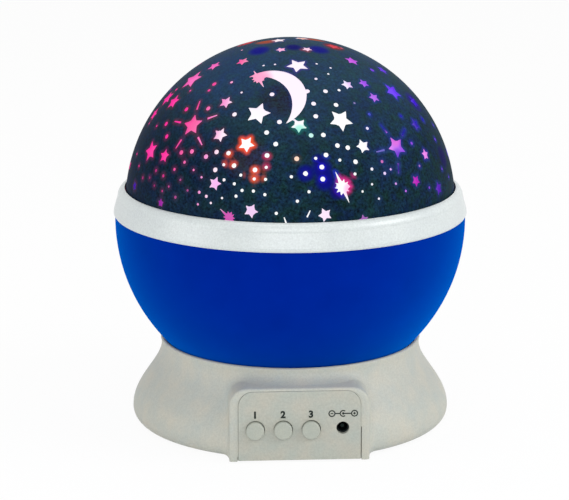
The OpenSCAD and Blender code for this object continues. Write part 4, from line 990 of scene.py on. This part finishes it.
LABEL_HEIGHT, LABEL_THICK = 2.4, 0.04
LABEL_RISE = 5.6                        # of the labels over the buttons and the socket
LABEL_SUNK = 0.01                       # into the panel's front
DIGIT_SHARE = 0.7                       # a digit's height as a part of the font's size
DIGIT_BOLD = 0.07                       # how far a digit's outline is moved out, as a part of its height
SIGN_SHIFT, SIGN_DROP = 0.1, 0.3        # of the socket's sign, from the middle of the socket and the labels
SIGN_REACH, SIGN_RADIUS, SIGN_STROKE = 4.0, 1.05, 0.42
SIGN_ARM, SIGN_DOT = 0.5, 0.45          # half a plus or minus, and the radius of the dot
SIGN_THIN = 0.8                         # stroke of the plus and minus, as a part of the others' stroke
SIGN_GAP = 0.01                         # between a line's end and its ring
ARC_POINTS = 33
RING_END = 349                          # degrees of a ring's last point; its outline closes itself
RING_GAP = 50                           # degrees by which the half-open ring stops short of the line


def flat_curve(name, kind):
    """A flat curve as thick as the print."""
    curve = bpy.data.curves.new(name, kind)
    curve.extrude = LABEL_THICK / 2 * MM
    return curve


def digit(number):
    """A number in the built-in font, made bolder."""
    curve = flat_curve("number", "FONT")
    curve.body = str(number)
    curve.size = LABEL_HEIGHT / DIGIT_SHARE * MM
    curve.offset = DIGIT_BOLD * LABEL_HEIGHT * MM
    curve.align_x, curve.align_y = "CENTER", "CENTER"
    return curve


def arc_points(x, radius, start, end):
    """Points on an arc between two angles in degrees, about a place on the sign's line."""
    turns = np.radians(np.linspace(start, end, ARC_POINTS))
    return [(x + radius * math.cos(a), radius * math.sin(a)) for a in turns]


def socket_sign():
    """A ring with a minus, a line to a half-open ring round a dot, and a line to a ring with a plus."""
    curve = flat_curve("socket_sign", "CURVE")
    curve.dimensions = "2D"
    curve.fill_mode = "BOTH"
    half = SIGN_STROKE / 2
    outer, inner, arm, thin = SIGN_RADIUS + half, SIGN_RADIUS - half, SIGN_ARM, SIGN_THIN * half
    outlines = [arc_points(side * SIGN_REACH, radius, 0, RING_END)
                for side in (-1, 1) for radius in (outer, inner)]
    minus = (-arm, -thin), (arm, -thin), (arm, thin), (-arm, thin)
    outlines.append([(-SIGN_REACH + x, z) for x, z in minus])
    outlines.append([(SIGN_REACH + x * math.cos(a) - z * math.sin(a), x * math.sin(a) + z * math.cos(a))
                     for a in (0, math.pi / 2, math.pi, 3 * math.pi / 2)
                     for x, z in ((thin, arm), (-thin, arm), (-thin, thin))])
    lead = SIGN_REACH - outer - SIGN_GAP
    meet = math.degrees(math.asin(half / outer))
    outlines.append(arc_points(0, outer, RING_GAP, 180 - meet) + [(-lead, half), (-lead, -half)]
                    + arc_points(0, outer, 180 + meet, 360 - RING_GAP)
                    + arc_points(0, inner, 360 - RING_GAP, RING_GAP))
    meet = math.degrees(math.asin(half / SIGN_DOT))
    outlines.append(arc_points(0, SIGN_DOT, meet, 360 - meet) + [(lead, -half), (lead, half)])
    for points in outlines:
        spline = curve.splines.new("POLY")
        spline.points.add(len(points) - 1)
        for target, (x, z) in zip(spline.points, points):
            target.co = (x * MM, z * MM, 0, 1)
        spline.use_cyclic_u = True
    return curve


def make_labels(materials):
    """Numbers over the buttons, and the sign for a socket with its positive pole in the middle."""
    shapes = []
    for number in (1, 2, 3):
        at = middle_of("button_%d" % number)
        shapes.append((digit(number), at.x, at.z + LABEL_RISE))
    at = middle_of("jack_pin")
    shapes.append((socket_sign(), at.x + SIGN_SHIFT, at.z + LABEL_RISE - SIGN_DROP))
    front = -(PANEL_FRONT + LABEL_THICK / 2 - LABEL_SUNK)
    upright = Matrix.Rotation(math.radians(90), 4, "X")
    printed = bmesh.new()
    for curve, x, z in shapes:
        mesh = finished(put(curve.name, curve))
        mesh.transform(Matrix.Translation((x * MM, front * MM, z * MM)) @ upright)
        printed.from_mesh(mesh)
    whole = bpy.data.meshes.new("panel_labels")
    printed.to_mesh(whole)
    printed.free()
    place_mesh("panel_labels", whole, "base", materials["label_ink"])


# ---------------------------------------------------------------- the scene

bpy.context.scene.view_settings.view_transform = "Standard"
make_camera()
materials = make_materials()
paint_cad(materials)
make_star_dome(materials)
make_base_shell(materials)
make_control_panel(materials)
make_labels(materials)
make_world()
make_lamps()
make_floor()
